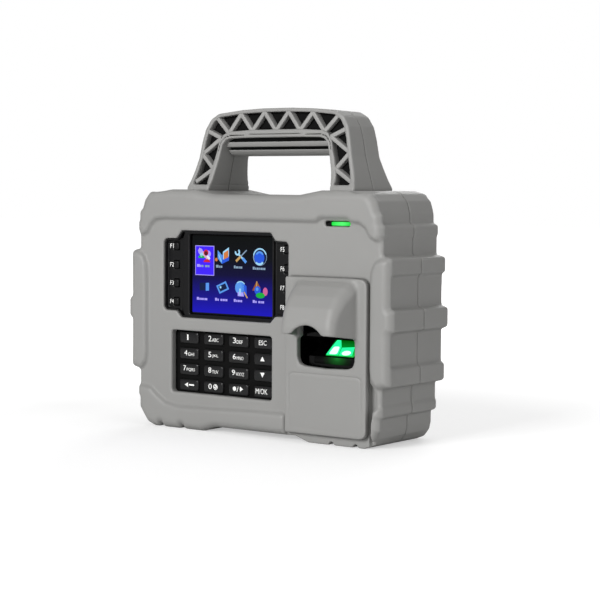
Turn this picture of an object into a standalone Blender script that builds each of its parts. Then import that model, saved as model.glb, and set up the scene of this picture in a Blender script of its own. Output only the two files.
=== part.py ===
"""Portable fingerprint scanner terminal with a carrying handle.

Metres, +Z up. The front, with the display, keypad and scanner, faces -Y. The origin is the
bottom centre of the whole object's box, so the flat undersides of the feet lie on z = 0.
"""
import math

import bmesh
import bpy
from mathutils import Vector

# ---- driving dimensions ----------------------------------------------------------------
GAP = 0.0003                # clearance between pieces that rest on each other
HOOD_FRONT_Y = -0.0470      # furthest forward point, the lip of the finger hood
BUMPER_Y = -0.0245          # front faces of the raised borders and side bumpers
FACE_Y = -0.0215            # recessed middle of the front face
PARTING_Y = 0.0145          # plane where the two halves of the case and handle meet
REAR_Y = 0.0470             # back of the case
WALL = 0.0028               # wall thickness of the case mouldings
TOP_Z = 0.1664              # top of the case

# Half width of the case at each band of the side, from the floor up: (z low, z high, half width)
SIDE_BANDS = (
    (0.0126, 0.0200, 0.1005),   # lower slot
    (0.0212, 0.0272, 0.1045),   # rib above the slot
    (0.0286, 0.0396, 0.1036),   # lower neck
    (0.0412, 0.0524, 0.1105),   # lower rib of the bumper
    (0.0540, 0.0750, 0.1080),   # lower grip window
    (0.0768, 0.0898, 0.1130),   # middle rib of the bumper
    (0.0914, 0.1116, 0.1080),   # upper grip window
    (0.1132, 0.1232, 0.1105),   # upper rib of the bumper
    (0.1248, 0.1362, 0.1036),   # upper neck
    (0.1376, 0.1442, 0.1045),   # rib under the top corner
    (0.1454, 0.1510, 0.1010),   # upper slot
)
WINDOW_FRONT_Y = -0.0195    # the grip windows and slots start here, just behind the bumper's front
TOP_CORNER_R = 0.0150
BOTTOM_CORNER_R = 0.0120
ARCH_Z = 0.0036             # height of the underside between the feet
FOOT_NOTCHES = (0.0635, 0.0828)
NOTCH_HALF = 0.0020
NOTCH_DEEP = 0.0024

# Display, function keys and keypad, placed on the front face by their centres
DISPLAY_X = -0.0226
DISPLAY_Z = 0.1081
DISPLAY_W = 0.0701          # active area of a 3.5 inch, 4:3 panel
DISPLAY_H = 0.0526
DISPLAY_RECESS = 0.0040     # the black bezel sits this far behind the face
BEZEL_Y = FACE_Y + DISPLAY_RECESS
F_KEY_X = (-0.0725, 0.0248)
F_KEY_Z = tuple(0.1271 - 0.0129 * i for i in range(4))
F_KEY_W = 0.0046
F_KEY_H = 0.0050
KEY_X = tuple(-0.0616 + 0.0222 * i for i in range(4))
KEY_Z = tuple(0.0634 - 0.01105 * i for i in range(4))
KEY_W = 0.0170
KEY_H = 0.0078
KEY_TRAVEL = 0.0009
KEYPAD_RECESS = 0.0060
KEYPAD_Y = FACE_Y + KEYPAD_RECESS

# Scanner panel on the right of the front face, and the hood over its finger bay
PANEL_X = (0.0280, 0.0944)
PANEL_Z = (0.0064, 0.1098)
PANEL_Y = -0.0248
PANEL_BACK_Y = -0.0202
HOOD_X = 0.0618
HOOD_HALF_BACK = 0.0244
HOOD_HALF_FRONT = 0.0198
HOOD_LIP_Z = 0.0745
BAY_TOP_Z = 0.0702
BAY_Z = 0.0510
BAY_HALF = 0.0232
BAY_BACK_Y = 0.0040
NOTCH_TOP_Z = 0.0794        # top of the arched notch in the hood's lip
NOTCH_R = 0.0146
PLATEN_X = (0.0544, 0.0766)
PLATEN_Y = (-0.0140, -0.0026)
PLATEN_LOW_Z = 0.0586       # front edge of the sloping glass
PLATEN_HIGH_Z = 0.0678      # back edge of the sloping glass

INDICATOR_X = (0.0585, 0.0783)
INDICATOR_Z = (0.1434, 0.1466)


# ---- helpers ---------------------------------------------------------------------------
def clear_scene():
    for item in list(bpy.data.objects):
        bpy.data.objects.remove(item)


def material(name, colour, roughness=0.5, metallic=0.0):
    made = bpy.data.materials.new(name)
    made.use_nodes = True
    shader = made.node_tree.nodes["Principled BSDF"]
    shader.inputs["Base Color"].default_value = (*colour, 1.0)
    shader.inputs["Roughness"].default_value = roughness
    shader.inputs["Metallic"].default_value = metallic
    return made


def make_object(name, mesh, finish=None, at=(0.0, 0.0, 0.0), helper=False):
    item = bpy.data.objects.new(name, mesh)
    bpy.context.scene.collection.objects.link(item)
    item.location = at
    if finish:
        mesh.materials.append(finish)
    if helper:
        item.hide_render = True
        item.display_type = "WIRE"
    return item


def prism(name, outline, low, high, axis="Y", **kwargs):
    """A straight solid whose section is the outline: (x, z) along Y, (y, z) along X, (x, y) along Z."""
    place = {
        "Y": lambda a, b, t: (a, t, b),
        "X": lambda a, b, t: (t, a, b),
        "Z": lambda a, b, t: (a, b, t),
    }[axis]
    bm = bmesh.new()
    near = [bm.verts.new(place(a, b, low)) for a, b in outline]
    far = [bm.verts.new(place(a, b, high)) for a, b in outline]
    bm.faces.new(near)
    bm.faces.new(far[::-1])
    for i in range(len(outline)):
        j = (i + 1) % len(outline)
        bm.faces.new((near[j], near[i], far[i], far[j]))
    bmesh.ops.recalc_face_normals(bm, faces=bm.faces)
    mesh = bpy.data.meshes.new(name)
    bm.to_mesh(mesh)
    bm.free()
    return make_object(name, mesh, **kwargs)


def block(name, x, y, z, **kwargs):
    """A box between the low and high values on each axis."""
    corners = ((x[0], z[0]), (x[1], z[0]), (x[1], z[1]), (x[0], z[1]))
    return prism(name, corners, y[0], y[1], **kwargs)


def turned(name, profile, axis="Y", steps=20, **kwargs):
    """A solid of revolution about its own Y or Z, from (radius, along) points that end on the axis."""
    bm = bmesh.new()
    ring = [bm.verts.new((r, 0.0, along)) for r, along in profile]
    for a, b in zip(ring, ring[1:]):
        bm.edges.new((a, b))
    bmesh.ops.spin(bm, geom=bm.verts[:] + bm.edges[:], axis=(0, 0, 1), cent=(0, 0, 0),
                   angle=math.tau, steps=steps, use_merge=True)
    bmesh.ops.remove_doubles(bm, verts=bm.verts, dist=1e-6)
    bmesh.ops.recalc_face_normals(bm, faces=bm.faces)
    if axis == "Y":
        for vert in bm.verts:
            vert.co = (vert.co.x, vert.co.z, -vert.co.y)
    mesh = bpy.data.meshes.new(name)
    bm.to_mesh(mesh)
    bm.free()
    mesh.shade_smooth()
    mesh.set_sharp_from_angle(angle=math.radians(35))
    return make_object(name, mesh, **kwargs)


def boolean(item, other, operation):
    other.hide_render = True
    other.display_type = "WIRE"
    change = item.modifiers.new(operation.title(), "BOOLEAN")
    change.operation = operation
    change.object = other
    change.solver = "EXACT"


def cut(item, *cutters):
    for cutter in cutters:
        boolean(item, cutter, "DIFFERENCE")


def join(item, *others):
    for other in others:
        boolean(item, other, "UNION")


def bevel(item, width, segments=1, angle=40.0):
    change = item.modifiers.new("Bevel", "BEVEL")
    change.width = width
    change.segments = segments
    change.limit_method = "ANGLE"
    change.angle_limit = math.radians(angle)
    return item


def arc(cx, cz, radius, start, end, steps):
    """Points along an arc, in degrees, both ends included."""
    points = []
    for i in range(steps + 1):
        a = math.radians(start + (end - start) * i / steps)
        points.append((cx + radius * math.cos(a), cz + radius * math.sin(a)))
    return points


def rounded_box(x, z, radius, steps=3):
    """A rectangle with round corners, anticlockwise from its lower right corner."""
    corners = ((x[1] - radius, z[0] + radius, -90), (x[1] - radius, z[1] - radius, 0),
               (x[0] + radius, z[1] - radius, 90), (x[0] + radius, z[0] + radius, 180))
    points = []
    for cx, cz, start in corners:
        points += arc(cx, cz, radius, start, start + 90, steps)
    return points


def mirrored(half):
    """A closed outline from its right half, listed from the bottom up."""
    return half + [(-x, z) for x, z in reversed(half) if abs(x) > 1e-9]


# ---- outlines of the case --------------------------------------------------------------
def side_points(bands, inset=0.0):
    """The stepped side, from the lower slot to the upper one."""
    points = []
    for low, high, half in bands:
        points += [(half - inset, low), (half - inset, high)]
    return points


def case_outline(bands=SIDE_BANDS, inset=0.0, plain=False):
    """The case seen from the front: feet, arch, stepped sides, top corners and the dip under the grip."""
    low_half = SIDE_BANDS[0][2] - inset
    high_half = SIDE_BANDS[-1][2] - inset
    half = [(0.0, ARCH_Z + inset), (0.034, ARCH_Z + inset)]
    if plain:
        half += [(0.050, inset)]
    else:
        half += [(0.046, inset)]
        for x in FOOT_NOTCHES:
            half += [(x - NOTCH_HALF, inset), (x - NOTCH_HALF / 2, NOTCH_DEEP + inset),
                     (x + NOTCH_HALF / 2, NOTCH_DEEP + inset), (x + NOTCH_HALF, inset)]
    r = BOTTOM_CORNER_R - inset
    half += arc(low_half - r, inset + r, r, -90, 0, 5)[:-1]
    half += side_points(bands, inset)
    r = TOP_CORNER_R - inset
    half += arc(high_half - r, TOP_Z - inset - r, r, 0, 90, 6)
    half += [(0.045, TOP_Z - inset), (0.024, TOP_Z - 0.0032 - inset), (0.0, TOP_Z - 0.0032 - inset)]
    return mirrored(half)


def closed_bands():
    """Side bands at the bumper's front, where no grip window or slot breaks it."""
    found = []
    for low, high, half in SIDE_BANDS:
        window = 0.053 < low < 0.12 and high - low > 0.018
        slot = half < 0.102
        found.append((low, high, half + (0.0022 if window or slot else 0.0)))
    return found


def top_border():
    """The raised brow along the top of the face, its underside stepped up over the indicator."""
    lower = [(-0.1036, 0.1362), (-0.0993, 0.1347), (-0.0947, 0.1370), (-0.0915, 0.1428), (-0.0868, 0.1456),
             (0.0526, 0.1460), (0.0562, 0.1486), (0.0766, 0.1486), (0.0802, 0.1462),
             (0.0868, 0.1456), (0.0915, 0.1428), (0.0947, 0.1370), (0.0993, 0.1347), (0.1036, 0.1362)]
    side = [(h, z) for low, high, h in SIDE_BANDS[-2:] for z in (low, high)]
    r = TOP_CORNER_R
    half = SIDE_BANDS[-1][2]
    upper = side + arc(half - r, TOP_Z - r, r, 0, 90, 6)
    upper += [(0.045, TOP_Z), (0.024, TOP_Z - 0.0032)]
    return lower + upper + [(-x, z) for x, z in reversed(upper)]


def bottom_border():
    """The raised border along the bottom of the face, stopping short of the scanner panel."""
    upper = [(PANEL_X[0] - 0.0004, 0.0176), (-0.0680, 0.0176), (-0.0820, 0.0200), (-0.0900, 0.0250),
             (-0.0960, 0.0286), (-0.1036, 0.0286)]
    side = [(-h, z) for low, high, h in reversed(SIDE_BANDS[:2]) for z in (high, low)]
    r = BOTTOM_CORNER_R
    half = SIDE_BANDS[0][2]
    corner = [(-x, z) for x, z in reversed(arc(half - r, r, r, -90, 0, 5)[:-1])]
    floor = []
    for x in reversed(FOOT_NOTCHES):
        floor += [(-x - NOTCH_HALF, 0.0), (-x - NOTCH_HALF / 2, NOTCH_DEEP),
                  (-x + NOTCH_HALF / 2, NOTCH_DEEP), (-x + NOTCH_HALF, 0.0)]
    floor += [(-0.046, 0.0), (-0.034, ARCH_Z), (PANEL_X[0] - 0.0004, ARCH_Z)]
    return upper + side + corner + floor


def side_bumper(sign):
    """The raised front of one side bumper."""
    inner = 0.0965
    bands = [b for b in closed_bands() if 0.040 < b[0] < 0.120]
    outer = [(h, z) for low, high, h in bands for z in (low, high)]
    points = outer + [(0.1036, 0.1238)] + arc(inner + 0.007, 0.1160, 0.007, 90, 180, 4)
    points += arc(inner + 0.007, 0.0480, 0.007, 180, 270, 4) + [(0.1036, 0.0404)]
    return [(sign * x, z) for x, z in points]


def display_opening(grow=0.0):
    """The window in the face for the display and its two columns of function keys."""
    x0, x1 = -0.0812 - grow, 0.0280 + grow
    xs0, xs1 = -0.0674 - grow, 0.0155 + grow
    z0, z1 = 0.0825 - grow, 0.1325 + grow
    zs0, zs1 = 0.0776 - grow, 0.1382 + grow
    c = 0.0022
    return [(x0, z0 + c), (x0 + c, z0), (xs0 - c, z0), (xs0 + c, zs0), (xs1 - c, zs0), (xs1 + c, z0),
            (x1 - c, z0), (x1, z0 + c), (x1, z1 - c), (x1 - c, z1), (xs1 + c, z1), (xs1 - c, zs1),
            (xs0 + c, zs1), (xs0 - c, z1), (x0 + c, z1), (x0, z1 - c)]


def keypad_opening(grow=0.0):
    return rounded_box((-0.0738 - grow, 0.0148 + grow), (0.0254 - grow, 0.0688 + grow), 0.003, 2)


def screw_places():
    """Centres of the case screws, seen from behind, as (x, z)."""
    return [(sign * x, z) for sign in (-1, 1) for x, z in ((0.0860, 0.0170), (0.0930, 0.0830),
                                                           (0.0860, 0.1480))]


# ---- case mouldings --------------------------------------------------------------------
def inner_room(name, y, grow=0.0):
    """The hollow inside the case: a plain outline, so that ribs and feet stay solid."""
    side = 0.0955 - WALL + grow
    low, high = ARCH_Z + WALL - grow, TOP_Z - 0.0032 - WALL + grow
    return prism(name, rounded_box((-side, side), (low, high), 0.011, 3), y[0], y[1], helper=True)


def boss(name, x, z, y, radius, steps=16, **kwargs):
    return prism(name, arc(x, z, radius, 0, 360 - 360 / steps, steps - 1), y[0], y[1], **kwargs)


def front_shell(finish):
    """Front half of the case: face, raised borders, bumpers, openings, and the seat of the scanner panel."""
    face_back = FACE_Y + WALL + 0.0014
    shell = prism("front_shell", case_outline(), WINDOW_FRONT_Y, PARTING_Y - GAP / 2, finish=finish)
    bump = case_outline(closed_bands())
    join(shell, prism("front_band", bump, FACE_Y + 0.0018, WINDOW_FRONT_Y + 0.001, helper=True))
    inset_outline = case_outline(closed_bands(), inset=0.0016)
    join(shell, prism("face_block", inset_outline, FACE_Y, FACE_Y + 0.003, helper=True))
    for name, outline in (("brow", top_border()), ("sill", bottom_border()),
                          ("bumper_left", side_bumper(-1)), ("bumper_right", side_bumper(1))):
        raised = prism(name, outline, BUMPER_Y, FACE_Y + 0.0026, helper=True)
        raised_edge = bevel(raised, 0.0014, 2, 60)
        join(shell, raised_edge)
    cut(shell, inner_room("front_room", (face_back, PARTING_Y + 0.01)))
    cut(shell, prism("display_hole", display_opening(), BUMPER_Y - 0.01, face_back + 0.01, helper=True))
    cut(shell, prism("keypad_hole", keypad_opening(), BUMPER_Y - 0.01, face_back + 0.01, helper=True))
    cut(shell, *panel_seat())
    cut(shell, prism("indicator_hole", rounded_box(INDICATOR_X, INDICATOR_Z, 0.0012, 2),
                     BUMPER_Y - 0.01, face_back + 0.01, helper=True))
    for i, (x, z) in enumerate(screw_places()):
        post = boss(f"front_boss_{i}", x, z, (face_back - 0.001, PARTING_Y - GAP / 2), 0.0042, helper=True)
        join(shell, post)
        cut(shell, boss(f"front_bore_{i}", x, z, (PARTING_Y - 0.016, PARTING_Y + 0.01), 0.0016, 12,
                        helper=True))
    cut(shell, *handle_slots(front=True))
    cut(shell, seal_ring("front_groove", (PARTING_Y - 0.0012, PARTING_Y + 0.003), 0.0003, helper=True))
    return shell


def panel_seat():
    """Room for the scanner panel: a pocket under its whole outline, and a hole behind its finger bay."""
    x = (PANEL_X[0] - GAP, PANEL_X[1] + 0.0008)
    z = (-0.01, PANEL_Z[1] + 0.0006)
    pocket = prism("panel_pocket", rounded_box(x, z, 0.0046, 3), BUMPER_Y - 0.01, PANEL_BACK_Y + GAP,
                   helper=True)
    well = block("panel_well", (HOOD_X - BAY_HALF - 0.0042, HOOD_X + BAY_HALF + 0.0042),
                 (BUMPER_Y - 0.01, FACE_Y + 0.01), (BAY_Z - 0.0042, BAY_TOP_Z + 0.0102), helper=True)
    corner = block("corner_relief", (PANEL_X[1] - 0.0002, 0.0982), (BUMPER_Y - 0.01, -0.0165),
                   (-0.01, 0.0400), helper=True)
    return pocket, well, corner


def rear_shell(finish):
    """Rear half of the case: a plain back with screw recesses, a port bay and speaker slots."""
    back_front = REAR_Y - WALL - 0.0006
    shell = prism("rear_shell", case_outline(), PARTING_Y + GAP / 2, REAR_Y - 0.0045, finish=finish)
    back = prism("back_block", case_outline(closed_bands(), inset=0.0022), REAR_Y - 0.0060, REAR_Y,
                 helper=True)
    join(shell, bevel(back, 0.0020, 2, 60))
    cut(shell, inner_room("rear_room", (PARTING_Y - 0.01, back_front)))
    for i, (x, z) in enumerate(screw_places()):
        post = boss(f"rear_boss_{i}", x, z, (PARTING_Y + GAP / 2, back_front + 0.001), 0.0046, helper=True)
        join(shell, post)
        cut(shell, boss(f"rear_bore_{i}", x, z, (PARTING_Y - 0.01, REAR_Y + 0.01), 0.0019, 12, helper=True))
        cut(shell, boss(f"rear_head_{i}", x, z, (REAR_Y - 0.0060, REAR_Y + 0.01), 0.0037, 16, helper=True))
    cut(shell, *port_bay(), *speaker_slots(), power_hole())
    cut(shell, *handle_slots(front=False))
    cut(shell, seal_ring("rear_groove", (PARTING_Y - 0.003, PARTING_Y + 0.0012), 0.0003, helper=True))
    return shell


def ring_outline(offset):
    half_x, low, high = 0.0965 + offset, 0.0072 - offset, 0.1586 + offset
    return rounded_box((-half_x, half_x), (low, high), 0.0115 + offset, 3)


def seal_ring(name, y, grow=0.0, **kwargs):
    """The soft ring that lies in the groove between the two halves."""
    ring = prism(name, ring_outline(0.0008 + grow), y[0], y[1], **kwargs)
    hole = prism(name + "_inside", ring_outline(-0.0008 - grow), y[0] - 0.001, y[1] + 0.001, helper=True)
    cut(ring, hole)
    return ring


# ---- handle ----------------------------------------------------------------------------
HANDLE_FOOT_Z = TOP_Z + GAP
CORE_HALF = 0.0012          # half the thickness of the core plate between the handle's halves
CORE_INSET = 0.0016         # it lies this far inside the rims
RIB_HALF = 0.0009
# How far the front and rear of the handle stand from the parting plane: (depth, z)
HANDLE_FRONT = ((0.0226, 0.150), (0.0226, 0.167), (0.0176, 0.180), (0.0146, 0.188),
                (0.0126, 0.200), (0.0096, 0.218), (0.0090, 0.230))
HANDLE_REAR = ((0.0234, 0.150), (0.0234, 0.167), (0.0190, 0.180), (0.0166, 0.188),
               (0.0164, 0.200), (0.0158, 0.218), (0.0156, 0.230))
OUTER_LEG = ((0.0704, HANDLE_FOOT_Z), (0.0664, 0.178), (0.0633, 0.189), (0.0608, 0.200), (0.0585, 0.2075))
INNER_LEG = ((0.0532, HANDLE_FOOT_Z), (0.0516, 0.178), (0.0484, 0.188), (0.0462, 0.196))
# Truss nodes on the right half, along the outer and inner rims, from the middle down to the foot
RIM = ((0.0103, 0.2197), (0.0308, 0.2188), (0.0500, 0.2166), (0.0565, 0.2085), (0.0607, 0.1915),
       (0.0656, 0.1720))
BAND = ((0.0, 0.2075), (0.0205, 0.2072), (0.0410, 0.2062), (0.0478, 0.2005), (0.0528, 0.1810),
        (0.0553, 0.1700))
POCKETS = (
    (BAND[0], BAND[1], RIM[0]), (RIM[0], BAND[1], RIM[1]), (BAND[1], BAND[2], RIM[1]), (RIM[1], BAND[2],
                                                                                        RIM[2]),
    (BAND[2], BAND[3], RIM[3], (0.0547, 0.2138), RIM[2]), (BAND[3], RIM[4], RIM[3]), (BAND[3], BAND[4],
                                                                                      RIM[4]),
    (BAND[4], RIM[5], RIM[4]), (BAND[4], BAND[5], (0.0652, 0.1700), RIM[5]))


def handle_outer(inset=0.0):
    right = [(x - inset, z) for x, z in OUTER_LEG] + arc(0.0458, 0.2074, 0.0126 - inset, 6, 80, 5)
    right += [(0.030, 0.2212 - inset), (0.012, 0.2221 - inset)]
    return right + [(-x, z) for x, z in reversed(right)]


def handle_inner(grow=0.0):
    right = [(0.0540 + grow, 0.150)] + [(x + grow, z) for x, z in INNER_LEG]
    right += arc(0.0386, 0.1962, 0.0076 + grow, 0, 84, 4) + [(0.020, 0.2044 + grow)]
    return right + [(-x, z) for x, z in reversed(right)]


def drawn_in(corners, amount):
    """A convex outline with each side moved inwards by the same amount."""
    corners = [Vector(c) for c in corners]
    area = sum(a.cross(b) for a, b in zip(corners, corners[1:] + corners[:1]))
    if area < 0:
        corners.reverse()
    lines = []
    for p, q in zip(corners, corners[1:] + corners[:1]):
        way = (q - p).normalized()
        lines.append((p + Vector((-way.y, way.x)) * amount, way))
    points = []
    for i in range(len(lines)):
        (p, u), (q, v) = lines[i - 1], lines[i]
        points.append(tuple(p + u * ((q - p).cross(v) / u.cross(v))))
    return points


def handle_pockets():
    """The open pockets between the ribs, both halves of the arch."""
    found = [drawn_in(corners, RIB_HALF) for corners in POCKETS]
    found += [[(-x, z) for x, z in reversed(points)] for points in found]
    middle = drawn_in((RIM[0], BAND[0], (-RIM[0][0], RIM[0][1])), RIB_HALF)
    return found + [middle]


def handle_half(name, front, finish):
    """One half of the arch: an open frame, its outer and inner rims joined by a zigzag of ribs."""
    sign = -1 if front else 1
    y = sorted((PARTING_Y + sign * GAP / 2, PARTING_Y + sign * 0.0235))
    half = prism(name, handle_outer(), y[0], y[1], finish=finish)
    taper = [(PARTING_Y + sign * depth, z) for depth, z in (HANDLE_FRONT if front else HANDLE_REAR)]
    taper += [(PARTING_Y - sign * 0.005, 0.230), (PARTING_Y - sign * 0.005, 0.150)]
    boolean(half, prism(name + "_taper", taper, -0.09, 0.09, axis="X", helper=True), "INTERSECT")
    cut(half, prism(name + "_hand_gap", handle_inner(), y[0] - 0.01, y[1] + 0.01, helper=True))
    for i, outline in enumerate(handle_pockets()):
        cut(half, prism(f"{name}_pocket_{i}", outline, y[0] - 0.01, y[1] + 0.01, helper=True))
    cut(half, core_plate(name + "_core_seat", GAP, helper=True))
    for side in (-1, 1):
        x, y, z = tenon_box(side, front, 0.0)
        join(half, block(f"{name}_tenon_{side}", x, y, (z[0], HANDLE_FOOT_Z + 0.002), helper=True))
    return half


def core_plate(name, grow=0.0, **kwargs):
    """The plate sandwiched between the two halves, inside their rims; it closes the pockets."""
    half = CORE_HALF + grow
    core = prism(name, handle_outer(CORE_INSET - grow), PARTING_Y - half, PARTING_Y + half, **kwargs)
    cut(core, prism(name + "_gap", handle_inner(CORE_INSET - grow), PARTING_Y - 0.01, PARTING_Y + 0.01,
                    helper=True))
    cut(core, block(name + "_foot", (-0.09, 0.09), (PARTING_Y - 0.01, PARTING_Y + 0.01),
                    (0.150, HANDLE_FOOT_Z + 0.0018 - grow), helper=True))
    return core


def tenon_box(side, front, grow):
    """The tongue under one leg that goes down into the case, or with grow its slot."""
    sign = -1 if front else 1
    x = sorted((side * (0.0575 - grow), side * (0.0665 + grow)))
    y = sorted((PARTING_Y + sign * (0.0040 - grow), PARTING_Y + sign * (0.0120 + grow)))
    return x, y, (TOP_Z - 0.0090 - grow, TOP_Z + 0.01)


def handle_slots(front):
    tag = "front" if front else "rear"
    return [block(f"{tag}_slot_{side}", *tenon_box(side, front, GAP), helper=True) for side in (-1, 1)]


# Ridges of the grip as (height, 1 on a ridge or 0 in a groove), from the top down
GRIP_STEPS = ((0.2041, 1), (0.2026, 1), (0.2026, 0), (0.1998, 0), (0.1998, 1), (0.1958, 1),
              (0.1958, 0), (0.1939, 0), (0.1939, 1), (0.1924, 1), (0.1924, 0), (0.1904, 0))


def grip_outline():
    """The grip seen from the front, a little smaller than the top of the hand gap."""
    right = [(0.0430, 0.1880)] + arc(0.0382, 0.1962, 0.0074, 0, 84, 4) + [(0.020, 0.2041)]
    return right + [(-x, z) for x, z in reversed(right)]


def grip(finish):
    """The ridged grip pad that fills the top of the hand gap."""
    front = []
    for z, ridge in GRIP_STEPS:
        half = 0.0118 * math.sqrt(1.0 - ((0.2030 - z) / 0.0129) ** 2)
        front.append((PARTING_Y - half + (0.0 if ridge else 0.0015), z))
    section = front + [(2 * PARTING_Y - y, z) for y, z in reversed(front)]
    bar = prism("grip_pad", section, -0.0480, 0.0480, axis="X", finish=finish)
    boolean(bar, prism("grip_ends", grip_outline(), PARTING_Y - 0.03, PARTING_Y + 0.03, helper=True),
            "INTERSECT")
    return bar


# ---- display and function keys ---------------------------------------------------------
def display_bezel(finish):
    """Black frame that holds the lens, with a socket for each function key."""
    bezel = prism("display_bezel", display_opening(0.0030), BEZEL_Y + 0.0026, BEZEL_Y + 0.0052, finish=finish)
    join(bezel, prism("bezel_front", display_opening(-GAP), BEZEL_Y, BEZEL_Y + 0.0030, helper=True))
    frame = prism("bezel_frame", raised_frame(), BEZEL_Y - 0.0022, BEZEL_Y + 0.001, helper=True)
    join(bezel, bevel(frame, 0.0007, 1, 60))
    cut(bezel, prism("lens_hole", lens_outline(GAP), BEZEL_Y - 0.01, BEZEL_Y + 0.01, helper=True))
    for i, x in enumerate(F_KEY_X):
        for j, z in enumerate(F_KEY_Z):
            hole = rounded_box((x - F_KEY_W / 2 - GAP, x + F_KEY_W / 2 + GAP),
                               (z - F_KEY_H / 2 - GAP, z + F_KEY_H / 2 + GAP), 0.0006, 1)
            cut(bezel, prism(f"f_hole_{i}_{j}", hole, BEZEL_Y - 0.01, BEZEL_Y + 0.01, helper=True))
    return bezel


def raised_frame():
    """The raised middle of the bezel, inside the taller part of its opening."""
    left, right, low, high = -0.0650, 0.0149, 0.0784, 0.1374
    run, rise = 0.0017, 0.0038
    return [(left + run, low), (right - run, low), (right, low + rise), (right, high - rise),
            (right - run, high), (left + run, high), (left, high - rise), (left, low + rise)]


def lens_outline(grow=0.0):
    return rounded_box((DISPLAY_X - DISPLAY_W / 2 - 0.0011 - grow, DISPLAY_X + DISPLAY_W / 2 + 0.0011 + grow),
                       (DISPLAY_Z - DISPLAY_H / 2 - 0.0016 - grow, DISPLAY_Z + DISPLAY_H / 2 + 0.0016 + grow),
                       0.0012, 2)


def key(name, x, z, width, height, front_y, depth, flange, flange_y, finish, crown=0.0008):
    """A key cap with a retaining flange behind its plate; its origin is at the middle of its front."""
    cap = rounded_box((-width / 2, width / 2), (-height / 2, height / 2), crown, 1)
    item = prism(name, cap, 0.0, depth, finish=finish, at=(x, front_y, z))
    if flange:
        wide = rounded_box((-width / 2 - flange, width / 2 + flange),
                           (-height / 2 - flange, height / 2 + flange), crown, 1)
        rim = prism(name + "_flange", wide, flange_y, flange_y + 0.0009, helper=True, at=(x, front_y, z))
        join(item, rim)
    return item


def function_keys(finish):
    number = 1
    for x in F_KEY_X:
        for z in F_KEY_Z:
            key(f"f{number}_key", x, z, F_KEY_W, F_KEY_H, BEZEL_Y - 0.0008, 0.0072, 0.0005, 0.0060 + GAP,
                finish, 0.0005)
            number += 1


def display_stack(glass, dark, green):
    prism("display_lens", lens_outline(), BEZEL_Y - 0.0006, BEZEL_Y + 0.0014, finish=glass)
    module = rounded_box((DISPLAY_X - 0.0385, DISPLAY_X + 0.0385), (DISPLAY_Z - 0.0290,
                                                                    DISPLAY_Z + 0.0290), 0.001, 1)
    prism("display_module", module, BEZEL_Y + 0.0055, BEZEL_Y + 0.0087, finish=dark)
    for side, x in zip(("left", "right"), F_KEY_X):
        block(f"function_board_{side}", (x - 0.0055, x + 0.0045), (BEZEL_Y + 0.0073, BEZEL_Y + 0.0085),
              (0.0830, 0.1320), finish=green)


# ---- keypad ----------------------------------------------------------------------------
KEY_NAMES = ("key_1", "key_2", "key_3", "key_esc", "key_4", "key_5", "key_6", "key_up",
             "key_7", "key_8", "key_9", "key_down", "key_back", "key_0", "key_next", "key_menu")


def keypad(dark, black, green):
    plate = prism("keypad_plate", keypad_opening(0.0030), KEYPAD_Y, KEYPAD_Y + 0.0016, finish=dark)
    for index, name in enumerate(KEY_NAMES):
        x, z = KEY_X[index % 4], KEY_Z[index // 4]
        hole = rounded_box((x - KEY_W / 2 - GAP, x + KEY_W / 2 + GAP), (z - KEY_H / 2 - GAP,
                                                                        z + KEY_H / 2 + GAP), 0.0011, 1)
        cut(plate, prism(f"{name}_hole", hole, KEYPAD_Y - 0.01, KEYPAD_Y + 0.01, helper=True))
        key(name, x, z, KEY_W, KEY_H, KEYPAD_Y - 0.0016, 0.0044, 0.0007, 0.0016 + 0.0016 + GAP, black)
    board_y = KEYPAD_Y + 0.0044 - 0.0016 + KEY_TRAVEL + 0.0010
    board = block("keypad_board", (-0.0749, 0.0176), (board_y, board_y + 0.0016), (0.0240, 0.0715),
                  finish=green)
    for index in range(len(KEY_NAMES)):
        x, z = KEY_X[index % 4], KEY_Z[index // 4]
        join(board, boss(f"dome_{index}", x, z, (board_y - 0.0007, board_y + 0.0004), 0.0026, 10,
                         helper=True))


# ---- scanner ---------------------------------------------------------------------------
HOOD_OUT = PANEL_Y - HOOD_FRONT_Y
HOOD_PROFILE = ((0.1075, 0.0000), (0.1040, 0.0052), (0.0990, 0.0104), (0.0930, 0.0154),
                (0.0865, 0.0194), (0.0800, 0.0216), (HOOD_LIP_Z, HOOD_OUT))   # (z, how far it stands out)


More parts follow.
